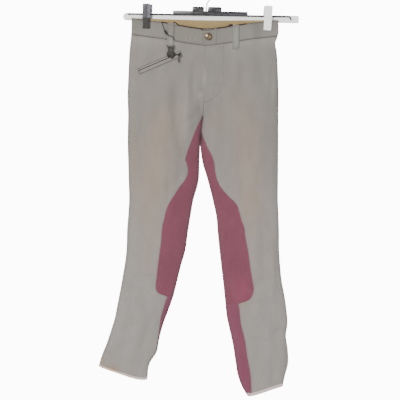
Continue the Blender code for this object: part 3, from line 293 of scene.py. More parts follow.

# Painted shade, where the cloth lies in deep shade: the slit between the legs, fold troughs,
# the outer edges and small dark places by the fly: x, drop, reach in x, reach in drop, how much
PAINTED_SHADE = np.array((
    (-8.4, 290, 3.2, 13, 1), (-7, 174, 3.5, 5, 0.20), (45, 161, 3.5, 8, 0.16), (15, 163, 6, 4, 0.12),
    (-12, 228, 5, 10, 0.14), (-18, 218, 8, 16, 0.08), (-56, 324, 6, 26, 0.12), (-62, 362, 9, 30, 0.12),
    (-76, 262, 3, 26, 0.14), (-71, 210, 8, 62, 0.11), (-66, 290, 7, 34, 0.09), (134, 520, 9, 52, 0.09),
    (139, 610, 8, 40, 0.07), (153, 196, 4, 24, 0.05), (-115, 712, 9, 26, 0.08),
    (-222, 806, 8, 16, 0.10), (-18, 200, 5, 10, 0.06), (94, 350, 8, 50, 0.05),
    (-60, 450, 14, 30, 0.10), (-186, 250, 5, 150, 0.08), (-184, 345, 4.5, 120, 0.24),
    (-209, 722, 6, 26, 0.18), (-46, 335, 8, 30, 0.18), (-68, 385, 10, 46, 0.12),
    (203, 828, 4, 40, 0.22),
))


def ease(value: Array, low: float = 0.0, high: float = 1.0) -> Array:
    """A smooth step, 3t^2 - 2t^3, from 0 at a low value to 1 at a high one."""
    t = np.clip((value - low) / (high - low), 0.0, 1.0)
    return t * t * (3 - 2 * t)


def through(knots: Array, values: Array, at: Array) -> Array:
    """A smooth line through values, by Hermite cubics whose slopes come from the neighbours.

    Args:
        knots: where the values stand, rising.
        values: the values at the knots.
        at: where the line is wanted.

    Returns:
        The line's value at each place.
    """
    slopes = np.gradient(values, knots)
    i = np.clip(np.searchsorted(knots, at, side="right") - 1, 0, len(knots) - 2)
    step = knots[i + 1] - knots[i]
    t = (at - knots[i]) / step
    start = values[i] * (1 + 2 * t) * (1 - t) ** 2 + slopes[i] * step * t * (1 - t) ** 2
    end = values[i + 1] * t**2 * (3 - 2 * t) - slopes[i + 1] * step * t**2 * (1 - t)
    return start + end


def smooth_path(points: Array, count: int) -> Array:
    """A smooth line of count points through a few points, by the same cubics in each axis."""
    points = np.asarray(points, float)
    index = np.arange(len(points), dtype=float)
    fine = np.linspace(0, len(points) - 1, count)
    return np.stack([through(index, axis, fine) for axis in points.T], axis=1)


def spaced(stops: Sequence[tuple[float, float]]) -> Array:
    """Rising values through every stop.

    Args:
        stops: pairs of a value and the longest step from it to the next one.

    Returns:
        Even steps between each pair of stops.
    """
    parts = []
    for (low, step), (high, _) in zip(stops, stops[1:]):
        parts.append(np.linspace(low, high, max(1, math.ceil((high - low) / step)), endpoint=False))
    return np.append(np.concatenate(parts), stops[-1][0])


def stacked(x: Array, y: Array, z: Array) -> Array:
    """Points from their three coordinates, each of which is one number or many."""
    return np.stack(np.broadcast_arrays(x, y, z), axis=-1)


def metres(x: Array, y: Array, drop: Array) -> Array:
    """Points in metres from x, y behind the side seams and drop, all in millimetres."""
    return stacked(x * MM, (y + SIDE_SEAM_Y) * MM, -(BAR_BELOW_HOOK + drop) * MM)


def unit(vectors: Array) -> Array:
    """Vectors divided by their lengths."""
    length = np.linalg.norm(vectors, axis=-1, keepdims=True)
    return vectors / np.where(length == 0, 1.0, length)


def facing(vectors: Array, face: Face) -> Array:
    """Unit vectors, turned round where they point into the garment."""
    normal = unit(vectors)
    return normal * np.sign(normal[..., 1:2] * face.outward + 1e-12)


def run_of(path: Array) -> Array:
    """How far along each of its points lies, in millimetres, for a path or several in metres."""
    steps = np.linalg.norm(np.diff(path, axis=-2), axis=-1)
    return np.insert(np.cumsum(steps, axis=-1), 0, 0.0, axis=-1) / MM


def crease_height(creases: Array, x: Array, drop: Array) -> Array:
    """The creases' height in millimetres at each place.

    Each is exp(-(d / half_width)^2) across its line, whose middle is bowed by a parabola, times
    sin(pi t)^0.7 along it, so that it fades at both ends.
    """
    x_from, drop_from, x_to, drop_to, half_width, height, bow = creases.T
    x, drop = np.broadcast_arrays(x, drop)
    from_x, from_drop = x[..., None] - x_from, drop[..., None] - drop_from
    along_x, along_drop = x_to - x_from, drop_to - drop_from
    length = np.hypot(along_x, along_drop)
    t = np.clip((from_x * along_x + from_drop * along_drop) / length**2, 0.0, 1.0)
    across = (from_x * along_drop - from_drop * along_x) / length - bow * 4 * t * (1 - t)
    fade = np.sin(math.pi * t) ** 0.7
    return (height * fade * np.exp(-((across / half_width) ** 2))).sum(axis=-1)


def ripple(x: Array, drop: Array) -> Array:
    """A low unevenness of the hanging cloth: four crossing sine waves, about 0.5 mm high."""
    wave = np.sin(x / 13.7 + drop / 61.0) + 0.8 * np.sin(drop / 19.3 - x / 47.0 + 1.3)
    wave += 0.6 * np.sin((x + drop) / 8.9 + np.sin(drop / 33.0)) + 0.5 * np.sin((x - drop) / 6.1 + 2.0)
    return 0.22 * wave


class Outline(NamedTuple):
    """A row's two ends, and how far the cloth stands out between them."""

    in_x: Array
    out_drop: Array
    out_x: Array
    back_in_drop: Array
    front_bulge: Array
    back_bulge: Array

    def share(self, x: Array) -> Array:
        """Where x lies on the row."""
        return (x - self.out_x) / (self.in_x - self.out_x)

    def width(self) -> Array:
        """From end to end, along X."""
        return np.abs(self.in_x - self.out_x)


@dataclass(frozen=True)
class Half:
    """One half of the garment: where its cloth hangs, as a formula of share and row.

    Its rows are where the plum cloth ends, where the ankle's tab begins, and where the leg and its
    binding end, and sag is how far the rows at the ankle hang down between their ends.
    """

    side: Side
    clip_x: float
    knee_row: float
    tab_row: float
    hem_row: float
    end_row: float
    sag: float

    def outline(self, row: Array) -> Outline:
        """The outline at the given rows."""
        leg = LEG_TABLE[self.side]
        in_x, out_drop, out_x = (through(leg[:, 0], leg[:, k], row) for k in (1, 2, 3))
        start, full, fade, end = LAP_ROWS
        lap = CROTCH_LAP * (ease(row, start, full) - ease(row, fade, end))
        in_x = in_x + (lap if self.side is Side.RIGHT else -lap)
        depths = (through(PROFILE[:, 0], PROFILE[:, k], row) for k in (1, 2, 3))
        return Outline(in_x, out_drop, out_x, *depths)

    @staticmethod
    def fullness(share: Array, row: Array) -> Array:
        """How far out the cloth stands, from 0 to 1.

        A superellipse's rise from the outer seam, whose reach shrinks down the thigh, times one
        that closes the leg at its inner side, which takes over as a quarter circle by the crotch,
        and more softly away from the middle.
        """
        n = SECTION_POWER
        reach = 1 - 0.5 * ease(row, *LEG_SHAPE_ROWS)
        outer = (1 - np.clip(1 - share / reach, 0, 1) ** n) ** (1 / n)
        past = np.clip(2 * share - 1, 0, 1)
        inner = (1 - past**n) ** (1 / n)
        turn = np.clip((row - RISE_TURN_ROW) / (CROTCH_ROW - RISE_TURN_ROW), 0.0, 1.0)
        whole = (1 - turn**2) ** (1.5 - past**4)
        return outer * (whole + (1 - whole) * inner)

    def drop_of(self, face: Face, share: Array, row: Array) -> Array:
        """The drop at a share of a row: it eases from the outer end's drop to the inner end's.

        Near the ankle the row also sags between its ends by sag (1 - (2 share - 1)^4).
        """
        line = self.outline(row)
        inner_drop = row if face is Face.FRONT else line.back_in_drop
        belly = self.sag * ease(row, *SAG_ROWS) * (1 - (2 * np.clip(share, 0, 1) - 1) ** 4)
        return line.out_drop + (inner_drop - line.out_drop) * (share + ease(share)) / 2 + belly

    def place(self, face: Face, share: Array, row: Array) -> tuple[Array, Array, Array]:
        """x, y and drop of the cloth's outer face.

        The depth is the profile's bulge times the fullness, with the creases and ripples, and it
        is flattened round the clip to the thickness that the clip's jaws leave.
        """
        share = np.clip(share, 0.0, 1.0)
        line = self.outline(row)
        x = line.out_x + (line.in_x - line.out_x) * share
        drop = self.drop_of(face, share, row)
        bulge = line.front_bulge if face is Face.FRONT else line.back_bulge
        rippled = ripple(x, drop) * (0.35 + 0.65 * ease(drop, *STIFF_DROPS))
        depth = (bulge + crease_height(CREASES[face], x, drop) + rippled) * self.fullness(share, row)
        pinch = (1 - ease(np.abs(x - self.clip_x), *PINCH_X)) * (1 - ease(drop, *PINCH_DROPS))
        pinch = pinch * ease(share, 0.0, 0.03)
        depth = depth * (1 - pinch) + PINCHED[face] * pinch
        return x, face.outward * depth, drop

    def at(self, face: Face, x: Array, drop: Array) -> Array:
        """Points in metres on the outer face at given x and drop, by 12 steps towards the row."""
        x, drop = np.broadcast_arrays(np.asarray(x, float), np.asarray(drop, float))
        row = drop.copy()
        for _ in range(12):
            share = np.clip(self.outline(row).share(x), 0.0, 1.0)
            row = row + drop - self.drop_of(face, share, row)
        _, y, _ = self.place(face, self.outline(row).share(x), row)
        return metres(x, y, drop)


HALVES = {
    Side.RIGHT: Half(Side.RIGHT, -144.0, 670.0, 838.0, 865.0, 871.0, 4.4),
    Side.LEFT: Half(Side.LEFT, 148.5, 686.0, 868.0, 900.0, 907.0, 0.8),
}


def on_cloth(face: Face, x: Array, drop: Array, lift: Array = 0.0) -> tuple[Array, Array]:
    """Points a little off the cloth and the directions out of it, on whichever half each is.

    Args:
        face: the front or the back.
        x: in millimetres.
        drop: in millimetres.
        lift: how far the points stand off the cloth, in millimetres.

    Returns:
        The points in metres and the unit normals, from differences over 1.5 mm.
    """
    x, drop = np.broadcast_arrays(np.asarray(x, float), np.asarray(drop, float))
    step = 1.5

    def point(at_x: Array, at_drop: Array) -> Array:
        """Points in metres, each on the half that it belongs to."""
        return np.where((x < 0)[..., None], *(HALVES[side].at(face, at_x, at_drop) for side in Side))

    here = point(x, drop)
    inward = np.where(x < 0, 1.0, -1.0)
    across = (point(x + step * inward, drop) - here) * inward[..., None]
    normal = facing(np.cross(across, point(x, drop + step) - here), face)
    return here + normal * np.asarray(lift)[..., None] * MM, normal


class Pattern(Enum):
    """How a cloth's surface is made."""

    TWILL = "twill"
    BRUSHED = "brushed"
    KNIT = "knit"
    LOOPS = "loops"
    CORD = "cord"


# Two waves for each woven pattern, as turns in a spacing along and across, and the second's share
WAVES = {
    Pattern.TWILL: ((0.8, 0.6), (0.55, -0.9), 0.35),
    Pattern.KNIT: ((1, 0), (0, 1.4), 0.5),
    Pattern.CORD: ((1, 1), (1, -1), 1),
}


def linear(code: str) -> tuple[float, float, float, float]:
    """An sRGB hex colour as linear values, by the sRGB curve."""
    parts = [int(code[k : k + 2], 16) / 255 for k in (1, 3, 5)]
    values = [p / 12.92 if p <= 0.04045 else ((p + 0.055) / 1.055) ** 2.4 for p in parts]
    return (*values, 1)


def wire(node: bpy.types.Node, inputs: dict) -> None:
    """Sets a node's inputs, by name or number, to values or to links from other sockets."""
    for key, value in inputs.items():
        if isinstance(value, bpy.types.NodeSocket):
            node.id_data.links.new(value, node.inputs[key])
        else:
            node.inputs[key].default_value = value


def add_node(
    tree: Tree, kind: str, inputs: dict, output: object = 0, **settings: object
) -> bpy.types.NodeSocket:
    """Adds a node with its settings, values and links.

    Args:
        tree: the material's or the world's node tree.
        kind: the node's type, such as Math.
        inputs: values or output sockets, by the input's name or number.
        output: the wanted output's name or number.
        settings: the node's properties.

    Returns:
        The wanted output.
    """
    node = tree.nodes.new("ShaderNode" + kind)
    for name, value in settings.items():
        setattr(node, name, value)
    wire(node, inputs)
    return node.outputs[output]


def blank(name: str) -> tuple[bpy.types.Material, Tree, bpy.types.Node]:
    """A new material, its tree and its Principled shader."""
    made = bpy.data.materials.new(name)
    made.use_nodes = True
    return made, made.node_tree, made.node_tree.nodes["Principled BSDF"]


@dataclass(frozen=True)
class Cloth:
    """A cloth's finish: colour, mottling and the relief of its weave, from the weave attribute."""

    name: str
    base: str
    warm: str
    # a paler colour, partly the cloth's washed-out tone and partly painted highlight
    cool_and_lit: str
    # the colour of painted shade: at seams and rims, in the slit between the legs and in fold troughs
    seam: str
    pattern: Pattern
    spacing_mm: float
    relief_mm: float
    mottle: float = 0.05
    sheen: float = 0.12
    roughness: float = 0.85

    def wave(self, tree: Tree, place: object, along: float, across: float) -> object:
        """sin(2 pi (along x + across y) / spacing) of the weave's coordinates in millimetres."""
        turn = 2 * math.pi / self.spacing_mm
        inputs = {0: place, 1: (turn * along, turn * across, 0)}
        phase = add_node(tree, "VectorMath", inputs, "Value", operation="DOT_PRODUCT")
        return add_node(tree, "Math", {0: phase}, operation="SINE")

    def height(self, tree: Tree, place: object, grain: object) -> object:
        """The weave's height: a wave along the ribs, crossed by another one, plus some fibre."""
        nap = 2.3 if self.pattern is Pattern.BRUSHED else 0.9
        fibre = add_node(tree, "Math", {0: grain, 1: nap}, operation="MULTIPLY")
        if self.pattern is Pattern.BRUSHED:
            return fibre
        if self.pattern is Pattern.LOOPS:
            cells = {"Vector": place, "Scale": 1 / self.spacing_mm}
            loops = add_node(tree, "TexVoronoi", cells, "Distance", feature="F1")
            return add_node(tree, "Math", {0: loops, 1: 2, 2: fibre}, operation="MULTIPLY_ADD")
        first, second, strength = WAVES[self.pattern]
        rib = add_node(tree, "Math", {0: self.wave(tree, place, *first), 1: fibre}, operation="ADD")
        cross = {0: self.wave(tree, place, *second), 1: strength, 2: rib}
        return add_node(tree, "Math", cross, operation="MULTIPLY_ADD")

    def make(self) -> bpy.types.Material:
        """The material.

        The tone attribute mixes in the cool_and_lit colour, partly the cloth's paler tone and partly
        painted highlight, the warm one, and the seam's colour, which is painted shade. Clouds of 24 mm make
        them lighter and darker by the mottle, and a grain of 2.6 mm does so 0.6 times as much.
        """
        made, tree, shader = blank(self.name)
        place = add_node(tree, "Attribute", {}, "Vector", attribute_name="weave")
        tone = add_node(tree, "Attribute", {}, "Color", attribute_name="tone")
        warm, cool_and_lit, seam = add_node(tree, "SeparateColor", {0: tone}).node.outputs
        drawn = add_node(tree, "VectorMath", {0: place, 1: (1, 0.4, 1)}, operation="MULTIPLY")
        broad = {"Vector": drawn, "Scale": 1 / 24, "Detail": 2, "Roughness": 0.5}
        clouds = add_node(tree, "TexNoise", broad, "Fac")
        fine = {"Vector": place, "Scale": 1 / 2.6, "Detail": 4, "Roughness": 0.7}
        grain = add_node(tree, "TexNoise", fine, "Fac")
        colour = linear(self.base)
        for share, tint in ((cool_and_lit, self.cool_and_lit), (warm, self.warm), (seam, self.seam)):
            tints = {0: share, 6: colour, 7: linear(tint)}
            colour = add_node(tree, "Mix", tints, 2, data_type="RGBA")
        for noise, reach, depth in ((clouds, 0.2, self.mottle), (grain, 0.25, self.mottle * 0.6)):
            spread = {"Value": noise, "From Min": 0.5 - reach, "From Max": 0.5 + reach}
            spread.update({"To Min": 1 - depth, "To Max": 1 + depth})
            tints = {0: 1, 6: colour, 7: add_node(tree, "MapRange", spread)}
            colour = add_node(tree, "Mix", tints, 2, data_type="RGBA", blend_type="MULTIPLY")
        bump = {"Height": self.height(tree, place, grain), "Distance": self.relief_mm * MM, "Strength": 1.0}
        wire(shader, {
            "Base Color": colour, "Normal": add_node(tree, "Bump", bump), "Roughness": self.roughness,
            "Specular IOR Level": 0.12, "Sheen Weight": self.sheen, "Sheen Roughness": 0.5,
        })
        return made


@dataclass(frozen=True)
class Hard:
    """A metal's or plastic's finish: colour with worn and dull places, from object coordinates."""

    name: str
    base: str
    worn: str
    metallic: float
    roughness: float
    spread: float
    grain_mm: float
    relief_mm: float
    coat: float = 0.0

    def make(self) -> bpy.types.Material:
        """The material: wear in patches of seven grains, and a roughness that follows the grain."""
        made, tree, shader = blank(self.name)
        place = add_node(tree, "TexCoord", {}, "Object")
        scale = 1 / (self.grain_mm * MM)
        noise = {"Vector": place, "Scale": scale, "Detail": 4, "Roughness": 0.6}
        grain = add_node(tree, "TexNoise", noise, "Fac")
        clouds = add_node(tree, "TexNoise", {"Vector": place, "Scale": scale / 7, "Detail": 2.0}, "Fac")
        worn = add_node(tree, "MapRange", {"Value": clouds, "From Min": 0.4, "From Max": 0.65})
        tints = {0: worn, 6: linear(self.base), 7: linear(self.worn)}
        spread = {"Value": grain, "From Min": 0.3, "From Max": 0.7}
        spread.update({"To Min": self.roughness - self.spread, "To Max": self.roughness + self.spread})
        bump = {"Height": grain, "Distance": self.relief_mm * MM, "Strength": 1.0}
        wire(shader, {
            "Base Color": add_node(tree, "Mix", tints, 2, data_type="RGBA"),
            "Roughness": add_node(tree, "MapRange", spread), "Normal": add_node(tree, "Bump", bump),
            "Metallic": self.metallic, "Coat Weight": self.coat,
        })
        return made


@dataclass(frozen=True)
class Paper:
    """The studio's floor: even, matt and pale, with a faint tooth."""

    name: str = "studio_paper"
    base: str = "#f2f1ee"

    def make(self) -> bpy.types.Material:
        """The material."""
        made, tree, shader = blank(self.name)
        noise = {"Vector": add_node(tree, "TexCoord", {}, "Object"), "Scale": 300, "Detail": 2.0}
        bump = {"Height": add_node(tree, "TexNoise", noise, "Fac"), "Distance": 0.0002, "Strength": 0.3}
        normal = add_node(tree, "Bump", bump)
        wire(shader, {"Base Color": linear(self.base), "Roughness": 0.9, "Normal": normal})
        return made


# Stretch cotton twill, piece-dyed and washed: a dull diagonal rib. The real rib is 0.5 mm wide,
# and is drawn 2.4 mm wide so that it shows.
TWILL = Cloth("stretch_twill", "#797570", "#8a7c6f", "#888481", "#534d49", Pattern.TWILL, 2.4, 0.035)
BAND_TWILL = Cloth("band_twill", "#716e68", "#787067", "#7a7673", "#494541", Pattern.TWILL, 2.2, 0.035)
LOOP_TWILL = Cloth("loop_twill", "#74716b", "#7a736b", "#807f7b", "#5b5854", Pattern.TWILL, 2.2, 0.035)
# Brushed grip cloth, like suede: short nap, so a soft sheen and no weave
PLUM = Cloth(
    "brushed_plum", "#6a3c49", "#783f50", "#6c3e4b", "#32161b", Pattern.BRUSHED, 2, 0.06, 0.06, 0.25
)
STRIP_PLUM = Cloth(
    "stretch_plum", "#6f3f50", "#744453", "#6f3f50", "#421e2a", Pattern.KNIT, 2.6, 0.045, 0.05, 0.2
)
# Cotton facing: plain and flat, with a fine twill drawn 1.8 mm wide
FACING = Cloth("cotton_facing", "#96835d", "#9b835a", "#988660", "#605235", Pattern.TWILL, 1.8, 0.035, 0.06)
# Ribbed elastic knit at the ankles, drawn with 1.8 mm ribs in place of 0.9 mm
BINDING = Cloth("knit_binding", "#cfb6b0", "#d8b592", "#cbb9b6", "#8f7b77", Pattern.KNIT, 1.8, 0.10)
PLUM_TAPE = Cloth("plum_tape", "#4a2630", "#523037", "#4a2630", "#32161b", Pattern.TWILL, 1.2, 0.04)
TAPE_END = Cloth("tape_end", "#8f8280", "#93847d", "#8f8583", "#5f4249", Pattern.TWILL, 1.2, 0.04)
# The loop side of a touch fastener: tiny woven loops
TAB = Cloth("fastener_loops", "#918172", "#988570", "#918172", "#554a3f", Pattern.LOOPS, 1.4, 0.15)
PIPING = Cloth("bias_piping", "#2e1c20", "#33231f", "#2e1c20", "#221619", Pattern.TWILL, 1.2, 0.04)
# Spun polyester thread, two plies laid together
THREAD = Cloth("greige_thread", "#88837d", "#8c8377", "#807f7f", "#77726c", Pattern.CORD, 1.2, 0.05)
PALE_THREAD = Cloth("pale_thread", "#bbb3ab", "#bcb09f", "#b6b6b8", "#a49b94", Pattern.CORD, 1.2, 0.05)
PLUM_THREAD = Cloth("plum_thread", "#8d5f6b", "#94646d", "#865c68", "#7c525f", Pattern.CORD, 1.2, 0.05)
DARK_THREAD = Cloth("dark_thread", "#393632", "#3e3831", "#343334", "#2c2926", Pattern.CORD, 1.2, 0.05)
# Waxed braided cord, almost black
BRAID = Cloth(
    "waxed_braid", "#2f2c2a", "#35302a", "#29292a", "#1f1d1c", Pattern.CORD, 1.6, 0.15, 0.15, 0.1, 0.6
)
# Zinc alloy with a rubbed antique plating: bright on the high places, brown in the low ones
BRASS = Hard("antique_brass", "#7a6b5a", "#62503f", 1, 0.27, 0.04, 1.6, 0.006)
ALLOY = Hard("blackened_alloy", "#2b2a27", "#383733", 0.85, 0.48, 0.10, 1.2, 0.05)
# Pressed steel, blued: a darker grey with soft reflections
STEEL = Hard("blued_steel", "#424143", "#39393a", 1, 0.34, 0.05, 1.6, 0.004)
CLIP_STEEL = Hard("brushed_steel", "#6a696d", "#5d5c60", 1, 0.32, 0.05, 1.6, 0.004)
# Grip pads, and the right clip's sleeve, whose near-black is a painted reflection of the dark surroundings
# in its plating
GRIP_AND_DARK_REFLECTION = Hard("rubber_grip_and_painted_reflection", "#22211f", "#2b2a27", 0, 0.7, 0.08, 0.8, 0.04)
ROD_STEEL = Hard("drawn_steel", "#2e2e30", "#29292b", 1, 0.42, 0.06, 0.9, 0.01)
CHROME = Hard("chrome_plate", "#f2f2f4", "#e8e8ea", 1, 0.10, 0.03, 1.5, 0.004)
# Moulded polystyrene: smooth, with a slightly soft gloss
PLASTIC = Hard("white_polystyrene", "#fcfcfc", "#fcfcfc", 0, 0.38, 0.06, 2, 0.01, 0.15)
# The left clip's white: a painted reflection of the bright backdrop in its plating
WHITE_REFLECTION_PAINT = Hard("painted_white_reflection", "#fcfcfc", "#fcfcfc", 0, 0.30, 0.05, 1.6, 0.01, 0.3)


@cache
def material_of(finish: object) -> bpy.types.Material:
    """The finish's material, made once."""
    return finish.make()


def tone_of(points: Array, seam: Array) -> Array:
    """How warm the cloth is, how much cooler and paler, and how much painted shade darkens it, as a colour
    for each point.

    Warm and cool_and_lit are sums of Gaussian patches, on the front and the back alike, and cool_and_lit,
    partly the cloth's washed-out tone and partly painted highlight, also rises down the thigh, where the
    cloth is more washed out. The table's painted shade is added to the seams' painted shade on the front
    alone.
    """
    x, drop = points[:, 0] / MM, -points[:, 2] / MM - BAR_BELOW_HOOK

    def patches(table: Array) -> Array:
        """The sum of a table's patches at each point."""
        across = (x[:, None] - table[:, 0]) / table[:, 2]
        return np.exp(-(across**2) - ((drop[:, None] - table[:, 1]) / table[:, 3]) ** 2) @ table[:, 4]

    # Cooler, paler tone and painted highlight together, with the washed-out tone rising down the thigh
    cool_and_lit = patches(COOL_AND_LIT) + 0.85 * ease(drop, *FADE_ROWS)
    # Painted shade: the rims' share everywhere, and the table's on the front
    shade = seam + patches(PAINTED_SHADE) * (points[:, 1] < (SIDE_SEAM_Y + 1) * MM)
    return np.clip(np.stack([patches(WARM), cool_and_lit, shade, np.ones_like(x)], axis=1), 0, 1)


def new_piece(
    name: str, points: Array, faces: Array, weave: Optional[Array] = None, seam: Optional[Array] = None
) -> Piece:
    """An object of quads or triangles with smooth shading, and the cloth's attributes.

    Args:
        name: the piece's name.
        points: (n, 3) in metres.
        faces: (m, 4) or (m, 3) vertex numbers, facing out, or a list of such arrays.
        weave: (n, 3) coordinates along the cloth in millimetres.
        seam: (n,) painted shade, 1 at a seam and 0 away from it.

    Returns:
        The object, linked into the scene.
    """
    blocks = faces if isinstance(faces, list) else [faces]
    counts = np.concatenate([np.full(len(b), b.shape[1]) for b in blocks])
    corners = np.concatenate([b.ravel() for b in blocks]).astype(np.int32)
    mesh = bpy.data.meshes.new(name)
    mesh.vertices.add(len(points))
    mesh.vertices.foreach_set("co", np.ascontiguousarray(points, np.float32).ravel())
    mesh.loops.add(len(corners))
    mesh.loops.foreach_set("vertex_index", corners)
    mesh.polygons.add(len(counts))
    starts = np.concatenate([[0], np.cumsum(counts)[:-1]]).astype(np.int32)
    mesh.polygons.foreach_set("loop_start", starts)
    mesh.update(calc_edges=True)
    mesh.validate()
    mesh.shade_smooth()
    if weave is None:
        weave = points[:, [0, 2, 1]] / MM
    colours = tone_of(points, np.zeros(len(points)) if seam is None else seam)
    for label, kind, key, values in (
        ("weave", "FLOAT_VECTOR", "vector", weave), ("tone", "FLOAT_COLOR", "color", colours),
    ):
        held = mesh.attributes.new(label, kind, "POINT")
        held.data.foreach_set(key, np.ascontiguousarray(values, np.float32).ravel())
    made = bpy.data.objects.new(name, mesh)
    bpy.context.scene.collection.objects.link(made)
    return made


def read(items: object, name: str, width: int = 1) -> Array:
    """A property of every item of a mesh, one row for each: whole numbers, or rows of three."""
    values = np.empty(len(items) * width, np.int32 if width == 1 else np.float32)
    items.foreach_get(name, values)
    return values if width == 1 else values.reshape(-1, width)


def dress(
    piece: Piece, finish: object, replaced: Sequence[str] = (), body: str = GARMENT
) -> Piece:
    """Gives a piece its finish and body, and hides the nodes that it stands for."""
    piece.data.materials.append(material_of(finish))
    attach(piece, body)
    if replaced:
        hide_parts(*replaced)
    LOG.info("%s: %s, %d faces", piece.name, finish.name, len(piece.data.polygons))
    return piece


def crossed(corners: Array) -> Array:
    """The cross product of each quad's diagonals: its normal, twice as long as its area."""
    first, second, third, fourth = np.moveaxis(corners, -2, 0)
    return np.cross(third - first, fourth - second)


def shell(
    name: str, points: Array, normals: Array, loops: Array, wall: float, lift: Array = 0,
    gap: float = 0, sink: float = 0, weave: Optional[Array] = None, rim_shade: float = RIM_SHADE,
) -> Piece:
    """A closed thin wall under a surface, with a rounded rim.

    The outer layer is the surface raised by lift along its normals, the inner one lies a wall
    below it, and a middle line round the rim stands out by a third of the wall. Rim points are
    drawn in by gap and down by sink, which makes the soft groove of a seam.

    Args:
        name: the piece's name.
        points: (n, 3) in metres.
        normals: (n, 3) unit, outwards.
        loops: (m, 4) vertex numbers, facing out.
        wall: in millimetres.
        lift: in millimetres, one or (n,).
        gap: in millimetres.
        sink: in millimetres.
        weave: (n, 3) cloth coordinates in millimetres.
        rim_shade: how much painted shade darkens the rim, from 0 to 1.

    Returns:
        The object.
    """
    total = len(points)
    start, end = loops.ravel(), np.roll(loops, -1, axis=1).ravel()
    open_edge = ~np.isin(start * total + end, end * total + start)
    flat = np.repeat(unit(crossed(points[loops])), 4, axis=0)[open_edge]
    start, end = start[open_edge], end[open_edge]
    inward = unit(np.cross(flat, points[end] - points[start]))
    pull = np.zeros_like(points)
    np.add.at(pull, start, inward)
    np.add.at(pull, end, inward)
    pull = unit(pull)
    rim = np.zeros(total)
    rim[start] = 1.0
    near = np.zeros(total)
    near[loops[(rim[loops] > 0).any(axis=1)].ravel()] = 1.0
    # Painted shade in the seam's groove: full at the rim, a third as much one cell in
    seam = np.where(rim > 0, rim_shade, near * rim_shade / 3)
    height = np.broadcast_to(lift, (total,)) - sink * rim
    outer = points + pull * gap * MM + normals * height[:, None] * MM
    inner = outer - normals * wall * MM
    middle = outer - normals * wall / 2 * MM - pull * wall / 3 * MM
    used, edge = np.unique(loops), np.unique(start)
    number = np.searchsorted(used, loops)
    a, b = np.searchsorted(used, start), np.searchsorted(used, end)
    am, bm = (np.searchsorted(edge, k) + 2 * len(used) for k in (start, end))
    ai, bi = a + len(used), b + len(used)
    faces = [
        number,
        number[:, ::-1] + len(used),
        np.stack([b, a, am, bm], axis=1),
        np.stack([bm, am, ai, bi], axis=1),
    ]
    if weave is None:
        weave = points[:, [0, 2, 1]] * (1, -1, 1) / MM
    layers = [outer[used], inner[used], middle[edge]]
    woven = np.concatenate([weave[used], weave[used] + 500, weave[edge]])
    shades = np.concatenate([seam[used], seam[used], seam[edge]])
    return new_piece(name, np.concatenate(layers), faces, woven, shades)


def cell_corners(index: Array) -> list[Array]:
    """The numbers at the corners (row, col), (row + 1, col), ... of each cell of a grid."""
    return [index[:-1, :-1], index[1:, :-1], index[1:, 1:], index[:-1, 1:]]


def grid_loops(rows: int, cols: int) -> Array:
    """Quads of a grid of points."""
    corners = cell_corners(np.arange(rows * cols).reshape(rows, cols))
    return np.stack([k.ravel() for k in corners], axis=1)


def patch_on_cloth(
    name: str, face: Face, x: Array, drop: Array, wall: float, lift: Array
) -> Piece:
    """A piece of cloth laid on the garment over a grid of x and drop."""
    base, normal = on_cloth(face, x, drop)
    loops = grid_loops(*x.shape)
    points, normals = base.reshape(-1, 3), normal.reshape(-1, 3)
    if crossed(points[loops[0]]) @ normals[loops[0][0]] < 0:
        loops = loops[:, ::-1]
    raised = np.broadcast_to(np.asarray(lift, float), x.shape).ravel() + wall
    return shell(name, points, normals, loops, wall, raised, weave=stacked(x.ravel(), drop.ravel(), 0))


def rings(side: Array, up: Array, steps: int) -> Array:
    """Unit circles, side cos(a) + up sin(a) at even angles a, for one pair of directions or many."""
    angle = np.arange(steps) * 2 * math.pi / steps
    return side[..., None, :] * np.cos(angle)[:, None] + up[..., None, :] * np.sin(angle)[:, None]


def ring_faces(count: int, steps: int) -> list[Array]:
    """Quads between rings of points, and a cap on the first ring and on the last."""
    index = np.arange(count * steps).reshape(count, steps)
    after = np.roll(index, -1, axis=1)
    quads = np.stack([index[:-1], after[:-1], after[1:], index[1:]], axis=2).reshape(-1, 4)
    return [quads, index[:1, ::-1], index[-1:]]


def tube(name: str, path: Array, radius: float, steps: int = 12) -> Piece:
    """A round tube along a path with domed ends.

    Each ring is centre + radius (a cos + b sin), where a and b are carried along the path without
    twist, and two small rings and a point close each end as a dome.

    Args:
        name: the piece's name.
        path: (n, 3) in metres.
        radius: in millimetres.
        steps: points round a ring.

    Returns:
        The object.
    """
    tangent = unit(np.gradient(path, axis=0))
    side = np.zeros_like(path)
    upright = abs(tangent[0][2]) >= 0.9
    side[0] = unit(np.cross(tangent[0], (1, 0, 0) if upright else (0, 0, 1)))
    for k in range(1, len(path)):
        side[k] = unit(side[k - 1] - tangent[k] * (side[k - 1] @ tangent[k]))
    size = radius * MM
    domes = np.array((0, 0.45, 0.8))
    reach = size * np.sqrt(1 - domes[:, None] ** 2)
    back, ahead = path[0] - tangent[0] * reach, path[-1] + tangent[-1] * reach[::-1]
    centres = np.concatenate([back, path, ahead])
    sizes = np.concatenate([domes * size, np.full(len(path), size), domes[::-1] * size])
    sizes[0] = sizes[-1] = 1e-7
    sides, runs = (np.pad(v, ((len(domes), len(domes)), (0, 0)), mode="edge") for v in (side, tangent))
    ring = rings(sides, np.cross(runs, sides), steps)
    points = (centres[:, None] + ring * sizes[:, None, None]).reshape(-1, 3)
    around = np.abs(np.arange(steps) / steps - 0.5) * 2 * math.pi * sizes[:, None] / MM
    weave = stacked(run_of(centres)[:, None], around, 0).reshape(-1, 3)
    return new_piece(name, points, ring_faces(len(centres), steps), weave)


